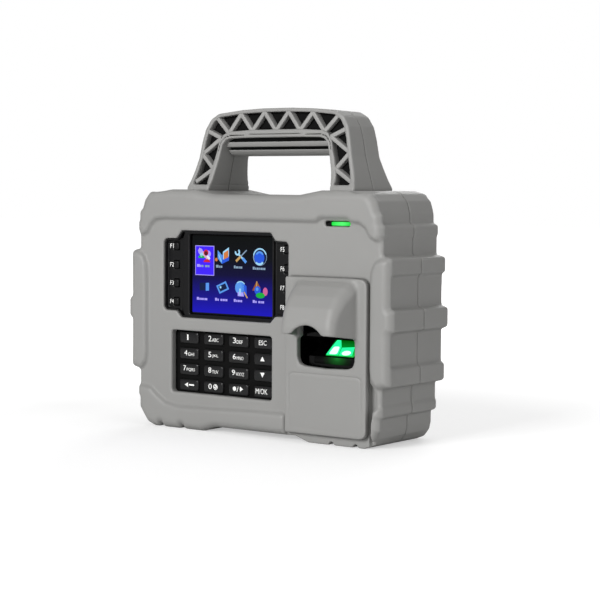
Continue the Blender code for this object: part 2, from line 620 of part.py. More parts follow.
def hood_solid(name, shrink, **kwargs):
    """The finger hood as level sections, each a rounded trapezium, widening as it comes down."""
    bm = bmesh.new()
    rings = []
    for z, out in HOOD_PROFILE:
        reach = max(out - shrink, 0.0006)
        t = out / HOOD_PROFILE[-1][1]
        back = HOOD_HALF_BACK - shrink - 0.0030 * (1.0 - t)
        front = HOOD_HALF_FRONT - shrink - 0.0010 * (1.0 - t)
        corner = min(reach * 0.45, 0.0060)
        base_y = PANEL_Y + 0.0024
        outline = [(-back, base_y), (-back, PANEL_Y), (-front - 0.001, PANEL_Y - reach + corner),
                   (-front + corner * 0.3, PANEL_Y - reach + corner * 0.3), (-front + corner,
                                                                             PANEL_Y - reach)]
        outline += [(-x, y) for x, y in reversed(outline)]
        fall = HOOD_LIP_Z - BAY_TOP_Z
        lowest = z == HOOD_PROFILE[-1][0]
        ring = []
        for x, y in outline:
            drop = fall * (y - (PANEL_Y - reach)) / (base_y - PANEL_Y + reach) if lowest else 0.0
            ring.append(bm.verts.new((HOOD_X + x, y, z - drop - (0.004 if lowest and shrink else 0.0))))
        rings.append(ring)
    for above, below in zip(rings, rings[1:]):
        for i in range(len(above)):
            j = (i + 1) % len(above)
            bm.faces.new((above[i], above[j], below[j], below[i]))
    bm.faces.new(rings[0][::-1])
    bm.faces.new(rings[-1])
    bmesh.ops.recalc_face_normals(bm, faces=bm.faces)
    mesh = bpy.data.meshes.new(name)
    bm.to_mesh(mesh)
    bm.free()
    return make_object(name, mesh, **kwargs)


def bay_outline(grow=0.0):
    """The mouth of the finger bay, its floor bowed down."""
    x0, x1 = HOOD_X - BAY_HALF - grow, HOOD_X + BAY_HALF + grow
    r = 0.006
    floor = BAY_Z - grow
    points = arc(x1 - r, floor + r + 0.0006, r, -75, 0, 4) + [(x1, BAY_TOP_Z + grow), (x0, BAY_TOP_Z + grow)]
    return points + arc(x0 + r, floor + r + 0.0006, r, 180, 255, 4) + [(HOOD_X, floor)]


def scanner_panel(finish):
    """Raised plate with the finger hood, the mouth of the finger bay, and a shallow card outline below."""
    panel = prism("scanner_panel", rounded_box(PANEL_X, PANEL_Z, 0.0040, 3), PANEL_Y, PANEL_BACK_Y,
                  finish=finish)
    bevel(panel, 0.0010, 1, 60)
    join(panel, hood_solid("hood_outside", 0.0, helper=True))
    cut(panel, hood_solid("hood_inside", 0.0022, helper=True))
    cut(panel, prism("bay_mouth", bay_outline(), PANEL_Y - 0.0002, PANEL_BACK_Y + 0.01, helper=True))
    behind = block("bay_behind_hood", (HOOD_X - 0.0215, HOOD_X + 0.0215), (PANEL_Y - 0.0006,
                                                                           PANEL_BACK_Y + 0.01),
                   (BAY_TOP_Z - 0.001, 0.0790), helper=True)
    cut(panel, behind)
    notch = boss("finger_notch", HOOD_X, NOTCH_TOP_Z - NOTCH_R, (HOOD_FRONT_Y - 0.01, PANEL_Y - 0.012),
                 NOTCH_R, 48, helper=True)
    cut(panel, notch)
    return panel


def sensor(black, glass, green):
    """Black well behind the finger bay, with the sloped optical window and its board."""
    well = prism("sensor_well", bay_outline(0.0034), PANEL_BACK_Y + GAP, BAY_BACK_Y, finish=black)
    hollow = prism("well_hollow", [(x, z) for x, z in bay_outline(0.0006)], PANEL_BACK_Y - 0.002,
                   BAY_BACK_Y - 0.0030, helper=True)
    cut(well, hollow)
    base = [(-0.0178, PLATEN_LOW_Z - 0.0010), (PLATEN_Y[0] - 0.0012, PLATEN_LOW_Z - 0.0010),
            (PLATEN_Y[1] + 0.0012, PLATEN_HIGH_Z - 0.0010), (BAY_BACK_Y - 0.002, PLATEN_HIGH_Z - 0.0010),
            (BAY_BACK_Y - 0.002, 0.0490), (-0.0178, 0.0490)]
    block_in_well = prism("platen_block", base, HOOD_X - 0.0180, HOOD_X + 0.0180, axis="X", helper=True)
    join(well, block_in_well)
    cut(well, prism("prism_seat", platen_section(GAP), PLATEN_X[0] - GAP, PLATEN_X[1] + GAP, axis="X",
                    helper=True))
    prism("sensor_prism", platen_section(), *PLATEN_X, axis="X", finish=glass)
    block("sensor_board", (HOOD_X - 0.0190, HOOD_X + 0.0190), (BAY_BACK_Y + GAP, BAY_BACK_Y + 0.0019),
          (0.0480, 0.0730), finish=green)


def platen_section(grow=0.0):
    """The glass platen in section, (y, z): its top face slopes up towards the back."""
    foot = PLATEN_LOW_Z - 0.0035
    return [(PLATEN_Y[0] - grow, foot - grow), (PLATEN_Y[1] + grow, foot - grow),
            (PLATEN_Y[1] + grow, PLATEN_HIGH_Z + grow), (PLATEN_Y[0] - grow, PLATEN_LOW_Z + grow)]


def indicator(finish):
    """The clear light window above the scanner."""
    outline = rounded_box((INDICATOR_X[0] + GAP, INDICATOR_X[1] - GAP), (INDICATOR_Z[0] + GAP,
                                                                         INDICATOR_Z[1] - GAP), 0.0009, 2)
    lens = prism("indicator_lens", outline, FACE_Y + 0.0008, FACE_Y + 0.0060, finish=finish)
    rim = rounded_box((INDICATOR_X[0] - 0.0010, INDICATOR_X[1] + 0.0010), (INDICATOR_Z[0] - 0.0010,
                                                                           INDICATOR_Z[1] + 0.0010), 0.001, 1)
    join(lens, prism("indicator_rim", rim, FACE_Y + WALL + 0.0014 + GAP, FACE_Y + 0.0058, helper=True))


# ---- rear fittings ---------------------------------------------------------------------
PORT_X = (-0.0300, 0.0300)
PORT_Z = (0.0300, 0.0460)
PORT_DEEP = 0.0030
HINGE_Z = PORT_Z[0] + 0.0016
COVER_HALF = 0.0006         # half the thickness of the flap over the ports


def port_bay():
    """A shallow bay for the sockets, with a hole through its floor for each of them."""
    bay = block("port_bay", PORT_X, (REAR_Y - PORT_DEEP, REAR_Y + 0.01), PORT_Z, helper=True)
    usb = block("usb_hole", (-0.0215, -0.0073), (REAR_Y - 0.02, REAR_Y + 0.01), (0.0350, 0.0424), helper=True)
    power = boss("charge_hole", 0.0150, 0.0387, (REAR_Y - 0.02, REAR_Y + 0.01), 0.0046, 16, helper=True)
    return bay, usb, power


def port_cover(finish):
    """Soft hinged flap that closes the port bay, with its origin on its hinge line."""
    cover = block("port_cover", (PORT_X[0] + GAP, PORT_X[1] - GAP), (-COVER_HALF, COVER_HALF),
                  (PORT_Z[0] + GAP - HINGE_Z, PORT_Z[1] - GAP - HINGE_Z), finish=finish,
                  at=(0.0, REAR_Y - COVER_HALF, HINGE_Z))
    bevel(cover, 0.0004, 1)


def usb_socket(finish):
    shell = block("usb_socket", (-0.0209, -0.0079), (REAR_Y - 0.0165, REAR_Y - PORT_DEEP),
                  (0.0358, 0.0416), finish=finish)
    mouth = block("usb_mouth", (-0.0205, -0.0083), (REAR_Y - 0.0130, REAR_Y + 0.01), (0.0362, 0.0412),
                  helper=True)
    cut(shell, mouth)
    join(shell, block("usb_tongue", (-0.0199, -0.0089), (REAR_Y - 0.0140, REAR_Y - 0.0050),
                      (0.0389, 0.0407), helper=True))


def charge_socket(finish):
    x, z = 0.0150, 0.0387
    shell = boss("charge_socket", x, z, (REAR_Y - 0.0150, REAR_Y - PORT_DEEP), 0.0042, 20, finish=finish)
    cut(shell, boss("charge_mouth", x, z, (REAR_Y - 0.0120, REAR_Y + 0.01), 0.0029, 16, helper=True))
    join(shell, boss("charge_pin", x, z, (REAR_Y - 0.0130, REAR_Y - 0.0050), 0.0010, 10, helper=True))


POWER_X, POWER_Z = 0.0450, 0.0380


def power_hole():
    return boss("power_hole", POWER_X, POWER_Z, (REAR_Y - 0.02, REAR_Y + 0.01), 0.0055, 20, helper=True)


def power_button(finish):
    profile = ((0.0, 0.0), (0.0052 - GAP, 0.0), (0.0052 - GAP, -0.0048), (0.0064, -0.0048),
               (0.0064, -0.0058), (0.0, -0.0058))
    turned("power_button", profile, axis="Y", steps=20, finish=finish, at=(POWER_X, REAR_Y, POWER_Z))


def speaker_slots():
    """Five short slots in the back, over the speaker."""
    return [prism(f"speaker_slot_{i}", rounded_box((-0.0110, 0.0110), (0.1150 + 0.0044 * i,
                                                                       0.1168 + 0.0044 * i), 0.0008, 1),
                  REAR_Y - 0.01, REAR_Y + 0.01, helper=True) for i in range(5)]


def case_screws(finish):
    for i, (x, z) in enumerate(screw_places()):
        head_y = REAR_Y - 0.0060 + GAP
        profile = ((0.0, 0.0024), (0.0030, 0.0024), (0.0033, 0.0018), (0.0033, 0.0), (0.0014, 0.0),
                   (0.0014, -0.0410), (0.0, -0.0410))
        screw = turned(f"case_screw_{i + 1}", profile, axis="Y", steps=16, finish=finish, at=(x, head_y, z))
        for turn in (0, 1):
            slot = ((-0.0020, 0.0020), (-0.0004, 0.0004)) if turn else ((-0.0004, 0.0004), (-0.0020, 0.0020))
            cut(screw, block(f"cross_{i}_{turn}", (x + slot[0][0], x + slot[0][1]), (head_y + 0.0012,
                                                                                     head_y + 0.01),
                             (z + slot[1][0], z + slot[1][1]), helper=True))


# ---- inside the case -------------------------------------------------------------------
def insides(green, grey, white, dark):
    block("main_board", (-0.0700, 0.0500), (0.0060, 0.0076), (0.0760, 0.1400), finish=green)
    pack = block("battery_pack", (-0.0720, 0.0260), (0.0215, 0.0415), (0.0520, 0.1080), finish=grey)
    bevel(pack, 0.0040, 2)
    turned("speaker", ((0.0, -0.0040), (0.0080, -0.0040), (0.0135, -0.0014), (0.0150, -0.0014),
                       (0.0150, 0.0020),
                              (0.0120, 0.0020), (0.0060, -0.0012), (0.0, -0.0012)), axis="Y", steps=24,
                              finish=dark,
           at=(0.0, REAR_Y - WALL - 0.0032, 0.1247))
    block("radio_module", (0.0300, 0.0640), (0.0090, 0.0122), (0.1020, 0.1300), finish=white)


def main():
    clear_scene()
    grey = material("grey_rubberised", (0.36, 0.35, 0.33), 0.55)
    black = material("black_plastic", (0.012, 0.012, 0.013), 0.35)
    key_black = material("key_rubber", (0.02, 0.02, 0.02), 0.55)
    glass = material("lens_glass", (0.01, 0.01, 0.015), 0.06)
    green_glass = material("green_glass", (0.02, 0.55, 0.16), 0.05)
    board = material("circuit_board", (0.02, 0.18, 0.07), 0.5)
    pack = material("battery_wrap", (0.05, 0.09, 0.22), 0.4)
    steel = material("steel", (0.6, 0.6, 0.62), 0.3, 1.0)
    seal = material("seal_rubber", (0.03, 0.03, 0.03), 0.7)

    front_shell(grey)
    rear_shell(grey)
    seal_ring("case_seal", (PARTING_Y - 0.0009, PARTING_Y + 0.0009), finish=seal)
    handle_half("handle_front", True, grey)
    handle_half("handle_rear", False, grey)
    core_plate("handle_core", finish=black)
    grip(grey)
    display_bezel(black)
    display_stack(glass, black, board)
    function_keys(key_black)
    keypad(black, key_black, board)
    scanner_panel(grey)
    sensor(black, green_glass, board)
    indicator(green_glass)
    port_cover(seal)
    usb_socket(steel)
    charge_socket(steel)
    power_button(key_black)
    case_screws(steel)
    insides(board, pack, steel, black)


main()
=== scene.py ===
"""Portable fingerprint scanner terminal: its looks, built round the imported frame.

Outlines, Clay blocks and the sizes that go with them are in millimetres. The studio, and the inputs
of node groups, are in metres.
"""
import math

import bmesh
import bpy
import numpy as np
from mathutils import Matrix, Vector


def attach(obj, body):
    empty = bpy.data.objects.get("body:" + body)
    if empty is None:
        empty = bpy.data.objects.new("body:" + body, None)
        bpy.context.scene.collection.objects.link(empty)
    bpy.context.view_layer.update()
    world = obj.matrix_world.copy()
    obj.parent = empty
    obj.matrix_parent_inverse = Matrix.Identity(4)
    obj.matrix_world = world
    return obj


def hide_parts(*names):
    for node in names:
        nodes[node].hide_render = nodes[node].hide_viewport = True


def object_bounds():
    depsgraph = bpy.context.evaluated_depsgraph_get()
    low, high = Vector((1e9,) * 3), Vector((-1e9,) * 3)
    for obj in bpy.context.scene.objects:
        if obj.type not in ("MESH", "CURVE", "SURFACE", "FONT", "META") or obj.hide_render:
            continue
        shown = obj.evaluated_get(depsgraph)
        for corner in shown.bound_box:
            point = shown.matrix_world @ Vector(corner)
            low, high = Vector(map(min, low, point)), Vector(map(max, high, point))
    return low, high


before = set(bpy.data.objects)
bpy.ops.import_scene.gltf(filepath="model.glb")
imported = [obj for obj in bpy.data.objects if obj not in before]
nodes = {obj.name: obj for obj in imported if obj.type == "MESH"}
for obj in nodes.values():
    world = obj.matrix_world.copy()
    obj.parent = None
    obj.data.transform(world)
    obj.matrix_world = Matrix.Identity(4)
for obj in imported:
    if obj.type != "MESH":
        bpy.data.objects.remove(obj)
cad_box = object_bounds()
scene = bpy.context.scene

# ---- The studio ------------------------------------------------------------------------
# A pale seamless floor, four broad soft lamps with the strongest in front, and a long lens on the
# terminal from its front right, a little above it.
YAW, PITCH, ROLL = math.radians(37.0), math.radians(3.67), math.radians(0.3615)
forward = Vector((-math.sin(YAW) * math.cos(PITCH), math.cos(YAW) * math.cos(PITCH), -math.sin(PITCH)))
level = Vector((math.cos(YAW), math.sin(YAW), 0.0))
upright = level.cross(forward)
camera_x = level * math.cos(ROLL) + upright * math.sin(ROLL)
camera_y = upright * math.cos(ROLL) - level * math.sin(ROLL)
lens = bpy.data.cameras.new("studio_camera")
lens.sensor_width = 36.0
lens.lens = 104.08
camera = bpy.data.objects.new("studio_camera", lens)
camera.matrix_world = Matrix((
    (camera_x.x, camera_y.x, -forward.x, 0.7252), (camera_x.y, camera_y.y, -forward.y, -0.9327),
    (camera_x.z, camera_y.z, -forward.z, 0.1675), (0.0, 0.0, 0.0, 1.0)))
scene.collection.objects.link(camera)
scene.camera = camera

FLOOR_HALF = 6.0
floor_mesh = bpy.data.meshes.new("studio_floor")
floor_mesh.from_pydata([(-FLOOR_HALF, -FLOOR_HALF, 0), (FLOOR_HALF, -FLOOR_HALF, 0),
                        (FLOOR_HALF, FLOOR_HALF, 0), (-FLOOR_HALF, FLOOR_HALF, 0)], [], [(0, 1, 2, 3)])
floor = bpy.data.objects.new("studio_floor", floor_mesh)
scene.collection.objects.link(floor)
paper = bpy.data.materials.new("pale_paper")
paper.use_nodes = True
sweep = paper.node_tree
sheet = sweep.nodes["Principled BSDF"]
sheet.inputs["Base Color"].default_value = (0.62, 0.62, 0.62, 1.0)
sheet.inputs["Roughness"].default_value = 0.9
sheet.inputs["Emission Strength"].default_value = 1.0
around = sweep.nodes.new("ShaderNodeTexCoord")
outward = sweep.nodes.new("ShaderNodeVectorMath")
outward.operation = "LENGTH"
glow_far = sweep.nodes.new("ShaderNodeMapRange")
for key, value in (("From Min", 0.22), ("From Max", 0.75), ("To Min", 0.45), ("To Max", 1.0)):
    glow_far.inputs[key].default_value = value
sweep.links.new(around.outputs["Object"], outward.inputs[0])
sweep.links.new(outward.outputs["Value"], glow_far.inputs["Value"])
to_lens = sweep.nodes.new("ShaderNodeLightPath")
shown = sweep.nodes.new("ShaderNodeMath")
shown.operation = "MULTIPLY"
sweep.links.new(glow_far.outputs[0], shown.inputs[0])
sweep.links.new(to_lens.outputs["Is Camera Ray"], shown.inputs[1])
sweep.links.new(shown.outputs[0], sheet.inputs["Emission Color"])
floor_mesh.materials.append(paper)

world = bpy.data.worlds.new("studio")
world.use_nodes = True
sky = world.node_tree
ambient = sky.nodes["Background"]
ambient.inputs["Color"].default_value = (1.0, 1.0, 1.0, 1.0)
ambient.inputs["Strength"].default_value = 0.23
backdrop = sky.nodes.new("ShaderNodeBackground")
backdrop.inputs["Color"].default_value = (1.0, 1.0, 1.0, 1.0)
backdrop.inputs["Strength"].default_value = 1.0
seen = sky.nodes.new("ShaderNodeLightPath")
either = sky.nodes.new("ShaderNodeMixShader")
sky.links.new(seen.outputs["Is Camera Ray"], either.inputs[0])
sky.links.new(ambient.outputs[0], either.inputs[1])
sky.links.new(backdrop.outputs[0], either.inputs[2])
sky.links.new(either.outputs[0], sky.nodes["World Output"].inputs["Surface"])
scene.world = world
scene.view_settings.view_transform = "Standard"

for name, place, size, power in (("key", (-0.10, -1.68, 0.70), 0.7, 28.1),
                                 ("fill", (1.40, -0.10, 0.55), 0.9, 6.0),
                                 ("top", (0.00, 0.30, 1.40), 0.9, 4.0),
                                 ("rear", (-0.55, 1.70, 0.60), 0.9, 12.0)):
    lamp = bpy.data.lights.new(name, "AREA")
    lamp.shape = "SQUARE"
    lamp.size = size
    lamp.energy = power
    lamp_object = bpy.data.objects.new(name, lamp)
    lamp_object.location = place
    aim = Vector((0.0, 0.0, 0.10)) - Vector(place)
    lamp_object.rotation_euler = aim.to_track_quat("-Z", "Y").to_euler()
    scene.collection.objects.link(lamp_object)


# ---- Front half of the case ------------------------------------------------------------
# A thick moulding in soft-touch grey plastic, with raised borders round a sunken face and stepped,
# barrel-shaped sides. It is shaped as a distance field in a block of space, then given a skin.
def filleted(points, radius, steps=4):
    """A closed outline with its corners rounded off, as far as its sides allow."""
    done = []
    count = len(points)
    for i in range(count):
        a, b, c = (np.array(points[(i + k) % count], float) for k in (-1, 0, 1))
        back, ahead = a - b, c - b
        longest = 0.48 * min(np.linalg.norm(back), np.linalg.norm(ahead))
        back, ahead = back / np.linalg.norm(back), ahead / np.linalg.norm(ahead)
        turn = math.acos(max(-1.0, min(1.0, float(-back @ ahead))))
        reach = min(longest, radius * math.tan(turn / 2))
        for k in range(steps + 1):
            t = k / steps
            done.append(tuple(b + back * reach * (1 - t) ** 2 + ahead * reach * t ** 2))
    return done


def mirrored(half):
    """A closed outline from its right half, listed from the bottom up."""
    return half + [(-x, z) for x, z in reversed(half) if abs(x) > 1e-6]


def rounded_box(x, z, radius, steps=5):
    """A rectangle between two x and two z, its corners rounded."""
    return filleted([(x[1], z[0]), (x[1], z[1]), (x[0], z[1]), (x[0], z[0])], radius, steps)


def inside_of(points, u, v):
    """Signed distance from a closed outline in a plane, negative inside it."""
    u, v = np.broadcast_arrays(u, v)
    nearest = np.full(u.shape, 1e9, np.float32)
    within = np.zeros(u.shape, bool)
    for (u0, v0), (u1, v1) in zip(points, points[1:] + points[:1]):
        du, dv = u1 - u0, v1 - v0
        span = du * du + dv * dv
        if span < 1e-12:
            continue
        t = np.clip(((u - u0) * du + (v - v0) * dv) / span, 0.0, 1.0)
        nearest = np.minimum(nearest, (u - u0 - t * du) ** 2 + (v - v0 - t * dv) ** 2)
        if dv:
            within ^= ((v0 <= v) != (v1 <= v)) & (u < u0 + (v - v0) * du / dv)
    return np.where(within, -1.0, 1.0).astype(np.float32) * np.sqrt(nearest)


def slab(plan, along, low, high, radius=0.0):
    """The plan drawn out from low to high, its end edges rounded."""
    ends = np.maximum(low - along, along - high)
    a, b = plan + radius, ends + radius
    return np.minimum(np.maximum(a, b), 0.0) + np.hypot(np.maximum(a, 0.0), np.maximum(b, 0.0)) - radius


def join(a, b, blend=0.0):
    """Both shapes, with a fillet where they meet."""
    if np.max(blend) <= 0.0:
        return np.minimum(a, b)
    t = np.clip(0.5 + 0.5 * (b - a) / blend, 0.0, 1.0)
    return b * (1.0 - t) + a * t - blend * t * (1.0 - t)


def cut(a, b, blend=0.0):
    """The first shape without the second, its new edges rounded."""
    return -join(-a, b, blend)


def common(a, b, blend=0.0):
    """Only what is in both shapes, its new edges rounded."""
    return -join(-a, -b, blend)


class Clay:
    """A block of space between two corners, sampled every step millimetres."""

    def __init__(self, low, high, step):
        self.low, self.step = np.array(low, float), step
        x, y, z = (np.arange(a, b + step, step, dtype=np.float32) for a, b in zip(low, high))
        self.x, self.y, self.z = x[:, None, None], y[None, :, None], z[None, None, :]

    def front(self, points):
        """The inside of an outline drawn on the front, as (x, z)."""
        return inside_of(points, self.x, self.z)

    def side(self, points):
        """The inside of an outline drawn on the side, as (y, z)."""
        return inside_of(points, self.y, self.z)

    def skin(self, field, name, keep=1.0):
        """A closed mesh over the shape: one point in each cell that its surface crosses."""
        field = np.ascontiguousarray(np.broadcast_to(
            field, (self.x.size, self.y.size, self.z.size)), np.float32)
        solid = field < 0.0
        corner = [(i, j, k) for i in (0, 1) for j in (0, 1) for k in (0, 1)]
        nx, ny, nz = (n - 1 for n in field.shape)
        count = np.zeros((nx, ny, nz), np.int8)
        for i, j, k in corner:
            count += solid[i:i + nx, j:j + ny, k:k + nz]
        cells = np.argwhere((count > 0) & (count < 8))
        number = np.full((nx, ny, nz), -1, np.int64)
        number[tuple(cells.T)] = np.arange(len(cells))
        value = [field[tuple((cells + c).T)] for c in corner]
        total, hits = np.zeros((len(cells), 3)), np.zeros(len(cells))
        for a, ca in enumerate(corner):
            for b, cb in enumerate(corner):
                if b > a and sum(abs(p - q) for p, q in zip(ca, cb)) == 1:
                    crossed = (value[a] < 0) != (value[b] < 0)
                    t = np.where(crossed, value[a] / np.where(crossed, value[a] - value[b], 1.0), 0.0)
                    point = np.array(ca) + t[:, None] * (np.array(cb) - np.array(ca))
                    total += np.where(crossed[:, None], point, 0.0)
                    hits += crossed
        points = (cells + total / hits[:, None]) * self.step + self.low
        points = np.clip(points, *(np.array(corner) * 1000.0 for corner in cad_box))
        quads = []
        for axis in range(3):
            u, v = [a for a in range(3) if a != axis]
            here = solid[tuple(slice(0, -1) if a == axis else slice(1, -1) for a in range(3))]
            after = solid[tuple(slice(1, None) if a == axis else slice(1, -1) for a in range(3))]
            for leaves in (True, False):
                edge = np.argwhere(here & ~after if leaves else ~here & after)
                edge[:, u] += 1
                edge[:, v] += 1
                ring = []
                for du, dv in ((1, 1), (0, 1), (0, 0), (1, 0)):
                    cell = edge.copy()
                    cell[:, u] -= du
                    cell[:, v] -= dv
                    ring.append(number[tuple(cell.T)])
                quad = np.stack(ring, 1)
                flip = leaves if axis != 1 else not leaves
                quads.append(quad if flip else quad[:, ::-1])
        quads = np.concatenate(quads)
        mesh = bpy.data.meshes.new(name)
        mesh.from_pydata((points * 0.001).tolist(), [], quads.tolist())
        mesh.validate()
        return thinned(mesh, keep)


def thinned(mesh, keep):
    """The same surface with fewer triangles, most of them taken from its flat parts."""
    if keep < 1.0:
        carrier = bpy.data.objects.new("thinning", mesh)
        scene.collection.objects.link(carrier)
        change = carrier.modifiers.new("Decimate", "DECIMATE")
        change.ratio = keep
        change.use_collapse_triangulate = True
        light = bpy.data.meshes.new_from_object(carrier.evaluated_get(bpy.context.evaluated_depsgraph_get()))
        light.name = mesh.name
        bpy.data.objects.remove(carrier)
        mesh = light
    mesh.shade_smooth()
    return mesh


def piece(name, mesh, body, slot, *replaced):
    """Shows a finished mesh as a piece of the terminal, riding on a body."""
    shown = bpy.data.objects.new(name, mesh)
    scene.collection.objects.link(shown)
    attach(shown, body)
    if replaced:
        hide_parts(*replaced)
    return shown


FACE = -21.5            # sunken middle of the front
BORDER = -24.5          # raised borders and side bumpers
PARTING = 14.5          # where the two halves of the case meet
BACK = 47.0
TOP = 166.4
AHEAD, BEHIND = -60.0, 60.0     # well outside the terminal, where a cut may start or end
SIDES = (               # each band of the side, from the floor up: low, high, half width
    (12.6, 20.0, 100.5), (21.2, 27.2, 104.5), (28.6, 39.6, 103.6), (41.2, 52.4, 110.5), (54.0, 75.0, 108.0),
    (76.8, 89.8, 113.0), (91.4, 111.6, 108.0), (113.2, 123.2, 110.5), (124.8, 136.2, 103.6),
    (137.6, 144.2, 104.5), (145.4, 151.0, 101.0))
CLOSED = {0: 103.2, 4: 110.4, 6: 110.4, 10: 103.4}   # half widths where the bumper's front closes a gap


def case_outline(closed=False):
    """The case from the front: feet, arch, stepped sides, round corners, and the dip under the grip."""
    half = [(0.0, 3.7), (34.0, 3.7), (45.0, 0.0)]
    for x in (63.5, 82.8):
        half += [(x - 2.2, 0.0), (x - 0.9, 2.5), (x + 0.9, 2.5), (x + 2.2, 0.0)]
    half += [(89.5, 0.0), (95.5, 2.2), (99.4, 7.2)]
    for i, (low, high, reach) in enumerate(SIDES):
        reach = CLOSED.get(i, reach) if closed else reach
        half += [(reach, low), (reach, high)]
    half += [(100.4, 154.0), (98.6, 159.6), (94.2, 164.6), (87.0, TOP), (54.5, TOP), (36.5, TOP - 3.1),
             (0.0, TOP - 3.3)]
    return mirrored(half)


side_border = [          # the right edge of the sunken middle, down to the second notch
    (80.6, 146.3), (86.8, 145.6), (91.5, 142.4), (94.9, 136.8), (99.6, 134.6), (108.0, 135.9),
    (125.0, 137.0), (125.0, 124.6), (110.0, 124.3), (103.6, 122.9), (98.6, 119.8), (96.2, 114.0),
    (95.6, 104.0), (95.6, 52.0), (96.6, 45.2), (100.6, 40.6), (107.0, 38.9), (125.0, 38.9), (125.0, 28.4)]
sunken_face = (
    [(0.0, 146.1), (52.0, 146.0), (56.0, 148.6), (76.8, 148.6)] + side_border
    + [(103.6, 28.2), (98.2, 25.0), (96.0, 18.0), (95.6, -20.0), (27.8, -20.0), (27.8, 18.0), (0.0, 17.6),
       (-40.0, 16.2), (-66.0, 15.6), (-78.0, 17.6), (-86.0, 22.6), (-92.0, 27.2), (-104.0, 28.4)]
    + [(-x, z) for x, z in reversed(side_border)])
display_window = [
    (-81.4, 84.4), (-79.4, 82.4), (-69.6, 82.2), (-65.2, 77.7), (13.2, 77.7), (17.6, 82.2), (26.6, 82.4),
    (28.2, 84.0), (28.2, 130.6), (26.6, 132.2), (17.4, 132.6), (13.4, 138.1), (-65.2, 138.2),
    (-69.6, 132.7), (-79.4, 132.4), (-81.4, 130.4)]
keypad_window = rounded_box((-73.8, 14.8), (25.4, 68.8), 2.4)
panel_seat = rounded_box((27.9, 94.7), (-20.0, 110.1), 6.6)
indicator_window = rounded_box((58.4, 78.4), (143.3, 146.7), 1.3)
display_fillet = filleted(display_window, 1.8)

STEP = 0.9
clay = Clay((-116.0, -27.0, -3.0), (116.0, 18.0, 170.0), STEP)
shaft = slab(clay.front(filleted(case_outline(), 2.0)), clay.y, -21.0, BEHIND, 3.0)
nose = slab(clay.front(filleted(case_outline(closed=True), 2.6)), clay.y, BORDER, BEHIND, 5.5)
nose = common(nose, clay.y + 18.6, 2.2)
case = join(shaft, nose, 1.6)
sunken = clay.front(filleted(sunken_face, 2.5)) + 0.7 - 0.55 * np.clip(FACE - clay.y, 0.0, 4.0)
case = cut(case, slab(sunken, clay.y, AHEAD, FACE, 1.0), 2.0)
room = rounded_box((-92.0, 92.0), (8.0, 158.6), 10.0)
case = cut(case, slab(clay.front(room), clay.y, -17.4, BEHIND, 2.0))
case = join(case, slab(clay.front(rounded_box((-75.8, 16.8), (23.4, 70.8), 3.5)), clay.y, -19.0, -15.8))
for opening in (display_fillet, keypad_window):
    case = cut(case, slab(clay.front(opening), clay.y, AHEAD, 0.0), 0.5)
for side in (-85.5, 85.5):
    dimple = np.sqrt(((clay.x - side) / 9.0) ** 2 + ((clay.y + 17.0) / 8.5) ** 2
                     + ((clay.z - 169.0) / 5.0) ** 2)
    case = cut(case, (dimple - 1.0) * 5.0, 2.0)
case = cut(case, slab(clay.front(indicator_window), clay.y, AHEAD, 0.0), 0.4)
case = cut(case, slab(clay.front(panel_seat), clay.y, AHEAD, -19.9, 0.3), 0.5)
corner_relief = filleted([(94.0, -20.0), (97.4, -20.0), (97.2, 10.0), (98.6, 25.0), (100.2, 29.0),
                          (99.8, 36.5), (96.6, 41.5), (94.0, 44.0)], 1.5)
case = cut(case, slab(clay.front(corner_relief), clay.y, AHEAD, -16.8, 0.6), 0.6)
case = cut(case, slab(clay.front(rounded_box((34.5, 89.0), (47.0, 80.5), 4.0)), clay.y, AHEAD, 0.0))
case = common(case, clay.y - (PARTING - 0.15), 0.9)
front_case_mesh = clay.skin(case, "front_case", 0.34)


# Effects that several finishes share, each built once as a node group.
def effect_group(name, inputs, outputs):
    """An empty shader node group with named sockets: its tree, and its two end nodes."""
    tree = bpy.data.node_groups.new(name, "ShaderNodeTree")
    for label, kind, value in inputs:
        socket = tree.interface.new_socket(name=label, in_out="INPUT", socket_type=kind)
        if value is not None:
            socket.default_value = value
    for label, kind in outputs:
        tree.interface.new_socket(name=label, in_out="OUTPUT", socket_type=kind)
    return tree, tree.nodes.new("NodeGroupInput"), tree.nodes.new("NodeGroupOutput")


def node(tree, kind, values=(), **settings):
    """A node with its settings, and its input values given as (socket name or number, value)."""
    made = tree.nodes.new(kind)
    for key, value in settings.items():
        setattr(made, key, value)
    for key, value in values:
        made.inputs[key].default_value = value
    return made


# Moulded grain: a fine leathery texture, as height, with its size in grains per metre
moulded_grain, ends_in, ends_out = effect_group(
    "moulded_grain", (("Grains per metre", "NodeSocketFloat", 1400.0), ("Depth", "NodeSocketFloat", 0.3)),
    (("Height", "NodeSocketFloat"), ("Speckle", "NodeSocketFloat")))
place = node(moulded_grain, "ShaderNodeTexCoord")
cells = node(moulded_grain, "ShaderNodeTexVoronoi", feature="SMOOTH_F1")
cells.inputs["Smoothness"].default_value = 0.6
drift = node(moulded_grain, "ShaderNodeTexNoise", (("Scale", 900.0), ("Detail", 3.0)))
depth = node(moulded_grain, "ShaderNodeMath", operation="MULTIPLY")
both = node(moulded_grain, "ShaderNodeMath", operation="ADD")
link = moulded_grain.links.new
link(place.outputs["Object"], cells.inputs["Vector"])
link(place.outputs["Object"], drift.inputs["Vector"])
link(ends_in.outputs["Grains per metre"], cells.inputs["Scale"])
link(cells.outputs["Distance"], both.inputs[0])
link(drift.outputs["Fac"], both.inputs[1])
link(both.outputs[0], depth.inputs[0])
link(ends_in.outputs["Depth"], depth.inputs[1])
link(depth.outputs[0], ends_out.inputs["Height"])
link(drift.outputs["Fac"], ends_out.inputs["Speckle"])

